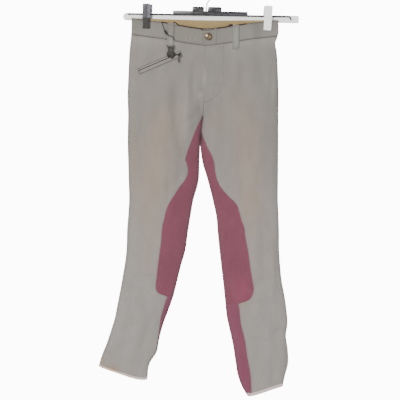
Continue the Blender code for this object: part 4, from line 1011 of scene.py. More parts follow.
def revolved(name: str, profile: Array, centre: Array, axis: Array, steps: int = 48) -> Piece:
    """A closed solid of revolution: rings of the profile's radii at its heights along an axis.

    Args:
        name: the piece's name.
        profile: (n, 2) radius and height in millimetres, from the back's middle to the front's.
        centre: where height 0 is, in metres.
        axis: the direction of rising height.
        steps: points round a ring.

    Returns:
        The object.
    """
    axis = unit(np.asarray(axis, float))
    side = unit(np.cross(axis, (0, 0, 1)))
    radius, height = np.maximum(profile[:, :1], 1e-4) * MM, profile[:, 1:] * MM
    ring = rings(side, np.cross(axis, side), steps)
    points = centre + ring * radius[..., None] + axis * height[..., None]
    return new_piece(name, points.reshape(-1, 3), ring_faces(len(profile), steps))


def extruded(
    name: str, outline: Array, direction: Array, depth: float, bevel: float, segments: int = 2
) -> Piece:
    """A flat outline carried along a direction, with its edges rounded.

    Args:
        name: the piece's name.
        outline: (n, 3) in metres.
        direction: the way it is carried.
        depth: how far, in millimetres.
        bevel: the rounding in millimetres.
        segments: the rounding's steps.

    Returns:
        The object.
    """
    count = len(outline)
    direction = unit(np.asarray(direction, float))
    area = np.cross(outline, np.roll(outline, -1, axis=0)).sum(axis=0)
    if area @ direction < 0:
        outline = outline[::-1]
    k = np.arange(count)
    n = (k + 1) % count
    faces = [np.stack([k, n, n + count, k + count], axis=1), k[None, ::-1], (k + count)[None]]
    made = new_piece(name, np.concatenate([outline, outline + direction * depth * MM]), faces)
    rounding = made.modifiers.new("edges", "BEVEL")
    rounding.width = bevel * MM
    rounding.segments = segments
    rounding.limit_method = "ANGLE"
    rounding.harden_normals = True
    return made


def block(name: str, x: tuple, y: tuple, drop: tuple, bevel: float) -> Piece:
    """A rounded block between limits of x, y behind the side seams and drop."""
    xs, drops = np.array([x[0], x[1], x[1], x[0]]), np.array([drop[1], drop[1], drop[0], drop[0]])
    return extruded(name, metres(xs, y[0], drops), (0, 1, 0), y[1] - y[0], bevel)


def joined(name: str, pieces: Sequence[Piece]) -> Piece:
    """One object of several, each with its modifiers applied."""
    graph = bpy.context.evaluated_depsgraph_get()
    points, faces, weaves, offset = [], [], [], 0
    for piece in pieces:
        mesh = bpy.data.meshes.new_from_object(piece.evaluated_get(graph))
        points.append(read(mesh.vertices, "co", 3))
        weaves.append(read(mesh.attributes["weave"].data, "vector", 3))
        sizes, corners = read(mesh.polygons, "loop_total"), read(mesh.loops, "vertex_index")
        starts = np.concatenate([[0], np.cumsum(sizes)[:-1]])
        for size in np.unique(sizes):
            rows = starts[sizes == size][:, None] + np.arange(size)
            faces.append(corners[rows] + offset)
        offset += len(mesh.vertices)
        bpy.data.meshes.remove(mesh)
        bpy.data.objects.remove(piece)
    made = new_piece(name, np.concatenate(points), faces, np.concatenate(weaves))
    made.data.set_sharp_from_angle(angle=math.radians(50))
    return made


def node_box(node: str) -> Array:
    """The lowest and the highest corner of a node's box, in metres."""
    return np.array(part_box(node))


class HalfCloth:
    """One half of the garment as a fine grid, cut into its panels along the seams.

    Columns run from the outer seam over the front to the middle, then over the back to the outer
    seam again. One column of each face lies on the plum cloth's edge.
    """

    # How many cells lie on each side of that column, and the columns at the middle and the end
    OUTER = 44
    INNER = 18
    MIDDLE = OUTER + INNER
    LAST = 2 * MIDDLE + 1
    # How strongly the columns crowd together, and the share at which the inner ones begin above
    # the crotch on the right half's front, where no seam is
    CROWDING = 0.8
    RIGHT_EDGE = 0.81

    def __init__(self, half: Half) -> None:
        """Lays the grid out.

        Args:
            half: where the cloth hangs.
        """
        self.half = half
        self.rows = spaced((
            (TOP_ROW, 2.6), (BAND_END_ROW, 3), (SEAT_TOP_ROW, 3), (FLY_END_ROW, 3),
            (CROTCH_ROW, 3), (KNEE_ROWS[0], 1.5), (half.knee_row, 1.5), (KNEE_ROWS[1], 3),
            (half.tab_row, 3), (half.hem_row, 1.5), (half.end_row, 1.5),
        ))
        blocks = [metres(*half.place(face, self.shares(face), self.rows[:, None])) for face in Face]
        front, back = (run_of(block) for block in blocks)
        self.grid = np.concatenate([blocks[0], blocks[1][:, ::-1]], axis=1)
        arc = np.concatenate([front, front[:, -1:] + back[:, -1:] - back[:, ::-1]], axis=1)
        weave = np.stack([arc, -self.grid[..., 2] / MM, 0 * arc], axis=-1)
        self.index = np.arange(arc.size).reshape(arc.shape)
        self.points = self.grid.reshape(-1, 3)
        self.weave = {face: weave.reshape(-1, 3).copy() for face in Face}
        self.weave[Face.BACK][self.index[:, 0]] = weave[:, self.LAST]
        self.index[:, self.LAST] = self.index[:, 0]
        crotch = self.row(CROTCH_ROW)
        self.index[crotch:, self.MIDDLE + 1] = self.index[crotch:, self.MIDDLE]
        corners = cell_corners(self.index)
        if half.side is Side.LEFT:
            corners.reverse()
        self.loops = np.stack(corners, axis=-1)
        self.normals = self.point_normals(crotch)

    def row(self, value: float) -> int:
        """The number of the row with this value."""
        return int(np.argmin(np.abs(self.rows - value)))

    def edge_share(self, face: Face, rows: Array) -> Array:
        """Where the fly's or the plum cloth's edge crosses each row.

        On the back it is read from a table. On the front the edge is a line of x and drop, and
        the share is where it first passes below the row. Above the crotch it eases over to the
        fly's stitched edge, or to a fixed share.
        """
        if face is Face.BACK:
            return through(SEAT_EDGE[:, 0], SEAT_EDGE[:, 1], rows)
        edge = PATCH_EDGE[self.half.side]
        fine = smooth_path(edge, 60 * len(edge))
        below = np.maximum(rows, CROTCH_ROW)[:, None]
        line = self.half.outline(below)
        share = np.clip(line.share(fine[None, :, 1]), 0, 1)
        past = fine[None, :, 0] - line.out_drop - (below - line.out_drop) * (share + ease(share)) / 2
        first = np.argmax(past >= 0, axis=1)
        first = np.clip(np.where((past >= 0).any(axis=1), first, past.shape[1] - 1), 1, None)
        k = np.arange(len(rows))
        before, after = past[k, first - 1], past[k, first]
        part = np.clip(before / (before - after - 1e-9), 0, 1)
        leg = share[k, first - 1] * (1 - part) + share[k, first] * part
        if self.half.side is Side.LEFT:
            body = through(FLY_EDGE[:, 0], FLY_EDGE[:, 1], np.minimum(rows, FLY_END_ROW))
        else:
            body = self.RIGHT_EDGE
        join = ease(rows, FLY_END_ROW, CROTCH_ROW)
        return np.clip(np.where(rows < CROTCH_ROW, body * (1 - join) + leg * join, leg), 0.3, 0.992)

    def shares(self, face: Face) -> Array:
        """The columns' shares of each row.

        They take cosine steps up to the edge and sine steps on to the middle, so that they stand
        closest where the cloth turns most.
        """
        edge = self.edge_share(face, self.rows)[:, None]

        def bent(t: Array, sign: float) -> Array:
            """Angles up to a right angle, crowded towards both ends or the middle."""
            return math.pi / 2 * (t + sign * self.CROWDING * np.sin(math.pi * t) / math.pi)

        outer = edge * (1 - np.cos(bent(np.linspace(0, 1, self.OUTER + 1)[None, :], 1)))
        inner = edge + (1 - edge) * np.sin(bent(np.linspace(0, 1, self.INNER + 1)[None, 1:], -1))
        return np.concatenate([outer, inner], axis=1)

    def point_normals(self, crotch: int) -> Array:
        """Unit normals: the sum of the faces' round each point, square to the middle's plane."""
        keep = np.arange(self.LAST) != self.MIDDLE
        loops = self.loops[:, keep].reshape(-1, 4)
        flat = unit(crossed(self.points[loops]))
        normals = np.zeros_like(self.points)
        for k in range(4):
            np.add.at(normals, loops[:, k], flat)
        normals[self.index[:crotch, self.MIDDLE : self.MIDDLE + 2].ravel(), 0] = 0.0
        return unit(normals)

    def cells(self, rows: tuple[float, float], first: int, last: int) -> Array:
        """A mask of the cells between two rows and two columns, without the middle's gap."""
        mask = np.zeros(self.loops.shape[:2], bool)
        mask[self.row(rows[0]) : self.row(rows[1]), first:last] = True
        mask[:, self.MIDDLE] = False
        return mask

    def cut(
        self, name: str, cells: Array, wall: float, lift: Array = 0, sink: float = 0.22,
        face: Face = Face.FRONT, rim_shade: float = RIM_SHADE,
    ) -> Piece:
        """A panel over some cells.

        It also works out its flat width, the longest line across it, and its flat length, the longest
        one down it, though nothing uses them.

        Args:
            name: the piece's name.
            cells: a mask of the grid's cells.
            wall: in millimetres.
            lift: how far it stands off the grid, in millimetres, one or one for each point.
            sink: how far its rim is drawn in, in millimetres.
            face: the face whose weave it follows.
            rim_shade: how much painted shade darkens its rim.

        Returns:
            The panel.
        """
        loops = self.loops[cells]
        piece = shell(
            name, self.points, self.normals, loops, wall, lift, SEAM_GAP / 2, sink, self.weave[face], rim_shade
        )
        across = np.linalg.norm(np.diff(self.grid, axis=1), axis=2)[:-1]
        down = np.linalg.norm(np.diff(self.grid, axis=0), axis=2)[:, :-1]
        width, length = (across * cells).sum(axis=1).max(), (down * cells).sum(axis=0).max()
        length = max(length, LEAST_CUT * MM)
        return piece

    def seam_line(self, face: Face, share: Array, row: Array, lift: float) -> tuple[Array, Array]:
        """Points and normals along a line of shares and rows, for stitches."""

        def point(at_share: Array, at_row: Array) -> Array:
            """Points in metres on the cloth."""
            return metres(*self.half.place(face, at_share, at_row))

        here = point(share, row)
        normal = facing(np.cross(point(share + 0.004, row) - here, point(share, row + 1.5) - here), face)
        return here + normal * lift * MM, normal


@dataclass
class LegPanels:
    """The cloth of one half: band, facing, front, back, plum cloth, fly or tab, and hem.

    The tab's width and the facing's margin are counted in the grid's cells.
    """

    side: Side
    patch_lift: float = 0.45
    binding_lift: float = 0.35
    tab_columns: int = 6
    lining_margin: int = 8

    def build(self) -> HalfCloth:
        """Cuts and dresses every panel.

        Returns:
            The grid, for the stitches along its seams.
        """
        half, side = HALVES[self.side], self.side.value
        cloth = HalfCloth(half)
        last, middle, edge = cloth.LAST, cloth.MIDDLE, cloth.OUTER

        def panel(
            name: str, cells: Array, finish: Cloth, slot: str, nodes: Sequence[str],
            wall: float = CLOTH_WALL, **cut: object,
        ) -> None:
            """Cuts a panel and dresses it in place of the solids' nodes."""
            dress(cloth.cut(name, cells, wall, **cut), finish, nodes)

        band = (TOP_ROW, BAND_END_ROW)
        for name, cells, how in (
            ("front_" + side, cloth.cells(band, 0, middle), {"sink": 0.4}),
            ("back_" + side, cloth.cells(band, middle, last), {"face": Face.BACK}),
        ):
            # The waistband's rims carry strong painted shade along its seams
            how.update({"wall": BAND_WALL, "rim_shade": BAND_SHADE})
            panel("band_" + name, cells, BAND_TWILL, "band_twill", ["waistband_" + name], **how)
        lining = cloth.cells(band, middle, last - self.lining_margin)
        how = {"lift": -(BAND_WALL + SEAM_GAP), "sink": 0, "face": Face.BACK}
        panel("band_lining_" + side, lining, FACING, "facing", ["facing_" + side], FACING_WALL, **how)

        patch = cloth.cells((CROTCH_ROW, half.knee_row), edge, middle)
        patch |= cloth.cells((SEAT_TOP_ROW, half.knee_row), middle, last - edge)
        risen = self.patch_lift * ease(np.abs(cloth.rows - CROTCH_ROW), 0, SLIT_ROWS)
        raised = {"lift": np.repeat(risen, cloth.grid.shape[1]), "sink": 0, "rim_shade": 0.0}
        panel("grip_" + side, patch, PLUM, "plum", ["seat_patch_" + side], **raised)
        strip = cloth.cells((half.knee_row, half.hem_row), edge, last - edge)
        raised["lift"] = self.patch_lift
        panel("inner_calf_" + side, strip, STRIP_PLUM, "plum", ["calf_strip_" + side], **raised)
        hem = cloth.cells((half.hem_row, half.end_row), 0, last)
        raised.update({"lift": self.binding_lift, "sink": 0.1})
        panel("ankle_binding_" + side, hem, BINDING, "binding", ["hem_" + side], **raised)

        leg = (BAND_END_ROW, half.hem_row)
        front = cloth.cells(leg, 0, middle) & ~patch & ~strip
        if self.side is Side.LEFT:
            own = cloth.cells((BAND_END_ROW, FLY_END_ROW), edge, middle)
            panel("fly_flap", own, TWILL, "twill", ["fly"], FLY_WALL, lift=FLY_LIFT, sink=0)
        else:
            own = cloth.cells((half.tab_row, half.hem_row), 0, self.tab_columns)
            panel("ankle_fastener", own, TAB, "tan_tab", ["ankle_tab"], lift=0.1, sink=0.3)
        back = cloth.cells(leg, middle, last) & ~patch & ~strip
        for face, cells in ((Face.FRONT, front & ~own), (Face.BACK, back)):
            nodes = [f"{face.value}_{side}_{part}" for part in ("hip", "thigh", "calf")]
            panel(f"leg_{face.value}_{side}", cells, TWILL, "twill", nodes, face=face)
        return cloth


@dataclass
class Waist:
    """What is sewn on the waistband: its overlap, belt loops, piping and tack button."""

    overlap_x: tuple[float, float] = (-7.5, 25)
    overlap_end: float = 68.7
    overlap_trim: float = 1.3
    overlap_slope: float = 0.11
    overlap_wall: float = 0.9
    overlap_gap: float = 0.25
    overlap_turn: float = 0.55
    loop_width: float = 15.0
    loop_wall: float = 1.2
    loop_rise: float = 1.0
    loop_turn: float = 0.45
    button_radius: float = 8.6
    button_height: float = 3.8
    tape_reach: float = 5.0
    tape_wall: float = 0.6
    piping_radius: float = 1.4

    # Where each front loop's tape end stands above the band, how far, its finish, and the share
    # from which the piping runs to the middle
    TAPE_ENDS = {Side.RIGHT: (-74.5, 4.6, TAPE_END, 0.405), Side.LEFT: (58.5, 4.2, PLUM_TAPE, 0.45)}
    # Each belt loop's name, face, x, and the drops of its top and its bottom
    LOOPS = (
        ("belt_loop_front_right", Face.FRONT, -84.5, 17, 73),
        ("belt_loop_front_left", Face.FRONT, 71.5, 19.5, 76.5),
        ("belt_loop_back_right", Face.BACK, -51, 9.8, 62),
        ("belt_loop_back_left", Face.BACK, 44, 9.8, 62),
    )

    def overlap(self) -> None:
        """The buttonhole end.

        A grid between two x whose rows follow the band's slope, and whose long edges turn down
        onto the band by the tenth power of their distance from its middle.
        """
        low, high = self.overlap_x
        share = np.linspace(0, 1, 30)[:, None]
        x = np.linspace(low, high, 26)[None, :] + 0 * share
        drop = self.overlap_end - (BAND_HEIGHT - self.overlap_trim) * (1 - share)
        drop = drop - np.abs(x) * self.overlap_slope
        lift = self.overlap_gap - self.overlap_turn * np.abs(2 * (x - low) / (high - low) - 1) ** 10
        piece = patch_on_cloth("band_end", Face.FRONT, x, drop, self.overlap_wall, lift)
        dress(piece, BAND_TWILL, ["waistband_overlap"])

    def belt_loops(self) -> None:
        """The belt loops.

        Strips that lie on the band at both ends and stand off by sin(pi t)^0.5 between them, with
        their long edges turned under and a fold near the lower end.
        """
        t = np.linspace(0, 1, 34)[:, None]
        s = np.linspace(-0.5, 0.5, 13)[None, :]
        rise = self.loop_rise * np.sin(math.pi * np.clip(t, 0.001, 0.999)) ** 0.5
        fold = 0.5 * (ease(t, 0.86, 0.89) - ease(t, 0.97, 1.0))
        lift = TRIM_GAP + rise - self.loop_turn * np.abs(2 * s) ** 6 + fold
        for name, face, middle, top, bottom in self.LOOPS:
            x, drop = np.broadcast_arrays(middle + s * self.loop_width, top + (bottom - top) * t)
            piece = patch_on_cloth(name + "_strip", face, x, drop, self.loop_wall, lift)
            dress(piece, LOOP_TWILL, [name])

    def piping(self) -> None:
        """The dark binding along the front's top edge, and the loops' tape ends under it.

        The binding is a thin tube just below the top row, raised by rise exp(-((x - x0) / w)^2)
        over each tape end, and the tape end fills the space below it down to the band.
        """
        for side in Side:
            middle, rise, finish, from_share = self.TAPE_ENDS[side]
            share = np.linspace(from_share, 1.0, 160)
            x, y, drop = HALVES[side].place(Face.FRONT, share, np.full_like(share, TOP_ROW + 0.2))
            lifted = rise * np.exp(-(((x - middle) / self.tape_reach) ** 2))
            line = metres(x, y + 0.5 * BAND_WALL, drop - 0.5 - lifted)
            dress(tube("top_piping_" + side.value, line, self.piping_radius, 8), PIPING)
            near = np.abs(x - middle) < 1.5 * self.tape_reach
            low, high = drop[near] + 1.2, drop[near] - 0.6 - lifted[near]
            points = metres(x[near], y[near] + 0.9, low + (high - low) * np.linspace(0, 1, 9)[:, None])
            loops = grid_loops(*points.shape[:2])
            if side is Side.RIGHT:
                loops = loops[:, ::-1]
            points = points.reshape(-1, 3)
            normals = np.broadcast_to((0.0, -1.0, 0.0), points.shape)
            piece = shell("tape_end_" + side.value, points, normals, loops, self.tape_wall)
            dress(piece, finish)

    def button(self) -> None:
        """The tack button: a turned head, a low rim round a dome of a quarter ellipse."""
        low, high = node_box("button")
        centre = np.array([(low[0] + high[0]) / 2, high[1], (low[2] + high[2]) / 2])
        r, h = self.button_radius, self.button_height
        turn = np.linspace(0, math.pi / 2, 14)[1:]
        rim = np.array([(0, 0), (0.80, 0), (0.97, 0.4), (1, 0.9), (1, 1.2), (0.97, 1.6), (0.93, 1.65)])
        dome = np.stack([r * 0.91 * np.cos(turn), 1.45 + (h - 1.45) * np.sin(turn)], axis=1)
        head = revolved("button_head", np.concatenate([rim * (r, 1), dome]), centre, (0, -1, 0), 64)
        dress(head, BRASS, ["button"])

    def build(self) -> None:
        """Builds them all."""
        self.overlap()
        self.belt_loops()
        self.piping()
        self.button()


@dataclass
class ZipPocket:
    """The slanted pocket: two welts, the closed zip between them, its slider and pull tab."""

    start: tuple[float, float] = (-159.0, 132.0)
    end: tuple[float, float] = (-59.5, 88.0)
    welt_wall: float = 1.1
    tooth_pitch: float = 1.5
    tooth_size: tuple[float, float, float] = (0.42, 0.62, 0.45)
    bridge_half: float = 2.6

    # Each welt's name and its two edges, as distances above the zip's line
    WELTS = (("pocket_welt_upper", 1.0, 4.8), ("pocket_welt_lower", -9.4, -1.0))
    # A tooth's faces, whose corners go round its foot and then round its top
    TOOTH_FACES = np.array((
        (3, 2, 1, 0), (4, 5, 6, 7), (0, 1, 5, 4), (1, 2, 6, 5), (2, 3, 7, 6), (3, 0, 4, 7),
    ))
    # The slider's plates: how far each is in front of the first, its thickness and its scale
    PLATES = ((0.0, 0.75, 0.9), (1.0, 0.8, 0.558), (1.6, 0.8, 0.9))
    # Half of a plate's outline, along the zip and across it
    SHIELD = np.array(((-4.3, 0), (-3.6, 1.9), (-1, 1.7), (1.6, 2.3), (3.9, 2.9), (4.4, 1.4), (3.7, 0)))
    # A cheek's arched front edge, behind and above the hinge
    CHEEK = np.array((
        (0.6, -0.9), (0.2, -1.05), (-0.6, -0.7), (-1, 0), (-0.6, 0.9), (0.2, 1.2), (0.6, 1.2),
    ))
    # Half of the tab's outline: half width, and how far below the hinge
    TAB = ((1.35, 1.1), (1.0, 2.6), (1.05, 4.6), (1.3, 8), (1.45, 12), (1.45, 14.6), (1.2, 16.2))
    TAB_RIB = np.array(((0.65, 10.2), (0.7, 12.2), (0.6, 14.2)))

    def line(self, t: Array, off: Array) -> tuple[Array, Array]:
        """x and drop at a share of the zip's line and a distance above it."""
        start, run = np.array(self.start), np.subtract(self.end, self.start)
        along = unit(run)
        return start[0] + run[0] * t + along[1] * off, start[1] + run[1] * t - along[0] * off

    def welts(self) -> None:
        """Two folded strips beside the zip, crowned across by a cosine."""
        for name, low, high in self.WELTS:
            t, u = np.meshgrid(np.linspace(0, 1, 90), np.linspace(low, high, 9))
            x, drop = self.line(t, u)
            crown = 0.3 * np.cos((u - (low + high) / 2) / (high - low) * math.pi)
            lift = TRIM_GAP + crown - 0.3
            piece = patch_on_cloth(name + "_fold", Face.FRONT, x, drop, self.welt_wall, lift)
            dress(piece, TWILL, [name])

    def zip_teeth(self) -> None:
        """Two rows of small teeth, half a pitch apart, over a narrow dark tape."""
        x, drop = self.line(*np.meshgrid(np.linspace(0.01, 0.94, 90), np.linspace(-0.9, 0.9, 3)))
        tape = patch_on_cloth("zip_tape", Face.FRONT, x, drop, 0.5, 0.05)
        dress(tape, BRAID, ["pocket_zip"])
        count = 2 * int(0.92 * math.dist(self.start, self.end) / self.tooth_pitch)
        k = np.arange(count)
        x, drop = self.line(0.012 + 0.92 * (k + 0.5) / count, np.where(k % 2 == 0, 0.36, -0.36))
        centres, normals = on_cloth(Face.FRONT, x, drop, 0.95)
        along = unit(np.array([self.end[0] - self.start[0], 0.0, self.start[1] - self.end[1]]))
        along = np.broadcast_to(along, centres.shape)
        axes = np.stack([along, unit(np.cross(normals, along)), normals], axis=1)
        corners = np.array([
            (a * wide, b * wide, level) for level, wide in ((-1.0, 1.0), (1.0, 0.62))
            for a, b in ((-1, -1), (1, -1), (1, 1), (-1, 1))
        ])
        points = centres[:, None] + (corners * self.tooth_size * MM) @ axes
        faces = (self.TOOTH_FACES + 8 * k[:, None, None]).reshape(-1, 4)
        teeth = new_piece("zip_teeth", points.reshape(-1, 3), faces)
        teeth.data.shade_flat()
        dress(teeth, ALLOY)

    def slider(self) -> None:
        """The slider: three shield-shaped plates, and a bridge between two cheeks."""
        low, high = node_box("zip_slider")
        eye_low, eye_high = node_box("zip_pull")
        hinge = (eye_low + eye_high) / 2
        hinge[2] = eye_high[2] - 1.6 * MM
        angle = math.atan2(self.start[1] - self.end[1], self.end[0] - self.start[0])
        turn = np.array(((math.cos(angle), -math.sin(angle)), (math.sin(angle), math.cos(angle))))
        shield = smooth_path(np.concatenate([self.SHIELD, self.SHIELD[-2::-1] * (1, -1)]), 60)[:-1]
        flat = shield @ turn.T * MM
        middle = (low + high) / 2
        parts = []
        for forward, depth, size in self.PLATES:
            across, up = (flat * size).T
            outline = stacked(across + middle[0], high[1] - forward * MM, up + middle[2])
            parts.append(extruded("plate", outline, (0, -1, 0), depth, 0.22))
        for sign in (-1.0, 1.0):
            line = hinge + stacked(sign * 2.5, *self.CHEEK.T) * MM
            foot = line[[-1, 0]] + (0.0, 1.7 * MM, 0.0)
            ear = smooth_path(np.concatenate([line, foot, line[:1]]), 40)[:-1]
            parts.append(extruded("ear", ear, (sign, 0, 0), 0.8, 0.2))
        reach = np.array((self.bridge_half * MM, 0.0, 0.0))
        parts.append(tube("bridge", np.linspace(hinge - reach, hinge + reach, 8), 0.62, 14))
        dress(joined("slider_body", parts), ALLOY, ["zip_slider"])
        self.pull(hinge, eye_low)

    def pull(self, hinge: Array, low: Array) -> None:
        """The pull tab: a rolled eye round the bridge, a neck, and a waisted tab with two ribs.

        Args:
            hinge: the bridge's middle, in metres.
            low: the lowest corner of the tab's box, in metres.
        """
        ring = rings(np.array((0.0, 1.0, 0.0)), np.array((0.0, 0.0, 1.0)), 32)
        closed = hinge + np.concatenate([ring, ring[:2]]) * 1.28 * MM
        parts = []
        for offset in (-1.15, -0.4, 0.4, 1.15):
            parts.append(tube("eye", closed + [offset * MM, 0, 0], 0.3, 8))
        side = smooth_path((*self.TAB, (0.5, (hinge[2] - low[2]) / MM)), 40)
        wide, down = np.concatenate([side, side[::-1] * (-1, 1)]).T
        outline = hinge + stacked(wide, 0.5, -down) * MM
        parts.append(extruded("tab", outline, (0, -1, 0), 1.0, 0.25))
        for sign in (-1.0, 1.0):
            rib = hinge + stacked(self.TAB_RIB[:, 0] * sign, -0.5, -self.TAB_RIB[:, 1]) * MM
            parts.append(tube("rib", smooth_path(rib, 12), 0.22, 8))
        dress(joined("pull_tab_metal", parts), ALLOY, ["zip_pull"], PULL_TAB)

    def build(self) -> None:
        """Builds the pocket."""
        self.welts()
        self.zip_teeth()
        self.slider()


@dataclass
class CharmCord:
    """The dark cord that hangs over the waistband, the bead that it runs through, and its charm."""

    diameter: float = 1.7
    bead_radius: float = 2.7
    fob_centre: tuple[float, float] = (-83.8, 87.0)
    fob_wall: float = 2.1

    # x, drop and how far it stands off the cloth
    ROUTE = np.array((
        (-105.4, 15.6, 1.35), (-103.6, 22.6, 1.35), (-101.2, 29, 1.35), (-99.3, 33.2, 2.6),
        (-96.2, 39, 4.8), (-92.8, 44.3, 6.3), (-88.5, 46.9, 6), (-83, 48.8, 5.8), (-78.2, 51.3, 5.2),
        (-76, 54.3, 3.6), (-77.6, 57.6, 1.5), (-80.2, 61.4, 0.9), (-81.6, 66, 0.9), (-82, 71, 1),
    ))
    BEAD_ENDS = np.array(((-99.4, 33.8, 3.2), (-92.9, 44.2, 6.5)))
    # The charm's edge and the raised line on it, round its centre
    OUTLINE = np.array((
        (-10.2, -16.6), (-8, -16.8), (-6.6, -12.6), (6, -12.6), (7.4, -16.4), (9.6, -16.2), (8.2, -10),
        (6.4, -6), (7.6, -1), (13.6, 4.6), (10.4, 9), (6.8, 14.6), (1.4, 15.2), (-1.4, 11.2),
        (-5.6, 12.4), (-8.8, 7), (-8.6, 2.6), (-5.8, -4), (-6.6, -9.4), (-10.2, -16.6),
    ))
    RIDGE = np.array((
        (-7, 4.4), (-4.6, -2.6), (-4.9, -9.6), (4.6, -9.6), (4.4, -4.6), (6.2, 1.6), (10, 5.6),
        (6, 11), (2.2, 12), (-0.6, 7.8), (-5.2, 9), (-7, 4.4),
    ))

    @staticmethod
    def before_cloth(table: Array) -> Array:
        """Points in front of the cloth by the distance in the table's third column."""
        points, _ = on_cloth(Face.FRONT, table[:, 0], table[:, 1])
        points[:, 1] -= table[:, 2] * MM
        return points

    def charm(self) -> Piece:
        """The charm: its outline rounded into a smooth edge, with a raised line inside it."""
        low, high = node_box("fob")
        x, drop = (smooth_path(self.OUTLINE, 8 * len(self.OUTLINE))[:-1] + self.fob_centre).T
        flat = metres(x, high[1] / MM - SIDE_SEAM_Y, drop)
        body = extruded("charm_plate", flat, (0, -1, 0), self.fob_wall, 0.7, 3)
        x, drop = (smooth_path(self.RIDGE, 90) + self.fob_centre).T
        line = metres(x, low[1] / MM + 0.35 - SIDE_SEAM_Y, drop)
        return joined("charm", [body, tube("ridge", line, 0.45, 8)])

    def bead(self) -> Piece:
        """The bead: turned about the cord's line, its radius sin(pi t)^0.5 with two grooves."""
        ends = self.before_cloth(self.BEAD_ENDS)
        t = np.linspace(0, 1, 28)
        radius = self.bead_radius * (0.42 + 0.58 * np.sin(math.pi * t) ** 0.5)
        radius -= 0.35 * (np.exp(-(((t - 0.2) / 0.04) ** 2)) + np.exp(-(((t - 0.8) / 0.04) ** 2)))
        length = np.linalg.norm(ends[1] - ends[0]) / MM
        profile = np.stack([radius, t * length], axis=1)
        profile = np.concatenate([[[0.0, 0.0]], profile, [[0.0, length]]])
        return revolved("cord_slide", profile, ends[0], ends[1] - ends[0], 28)

    def build(self) -> None:
        charm, bead = self.charm(), self.bead()
        dress(charm, ALLOY, ["fob"])
        dress(bead, BRAID, ["cord_bead"])
        route = smooth_path(self.before_cloth(self.ROUTE), 36)
        cord = tube("charm_cord", route, self.diameter / 2, 12)
        dress(cord, BRAID, ["cord_upper", "cord_lower"])


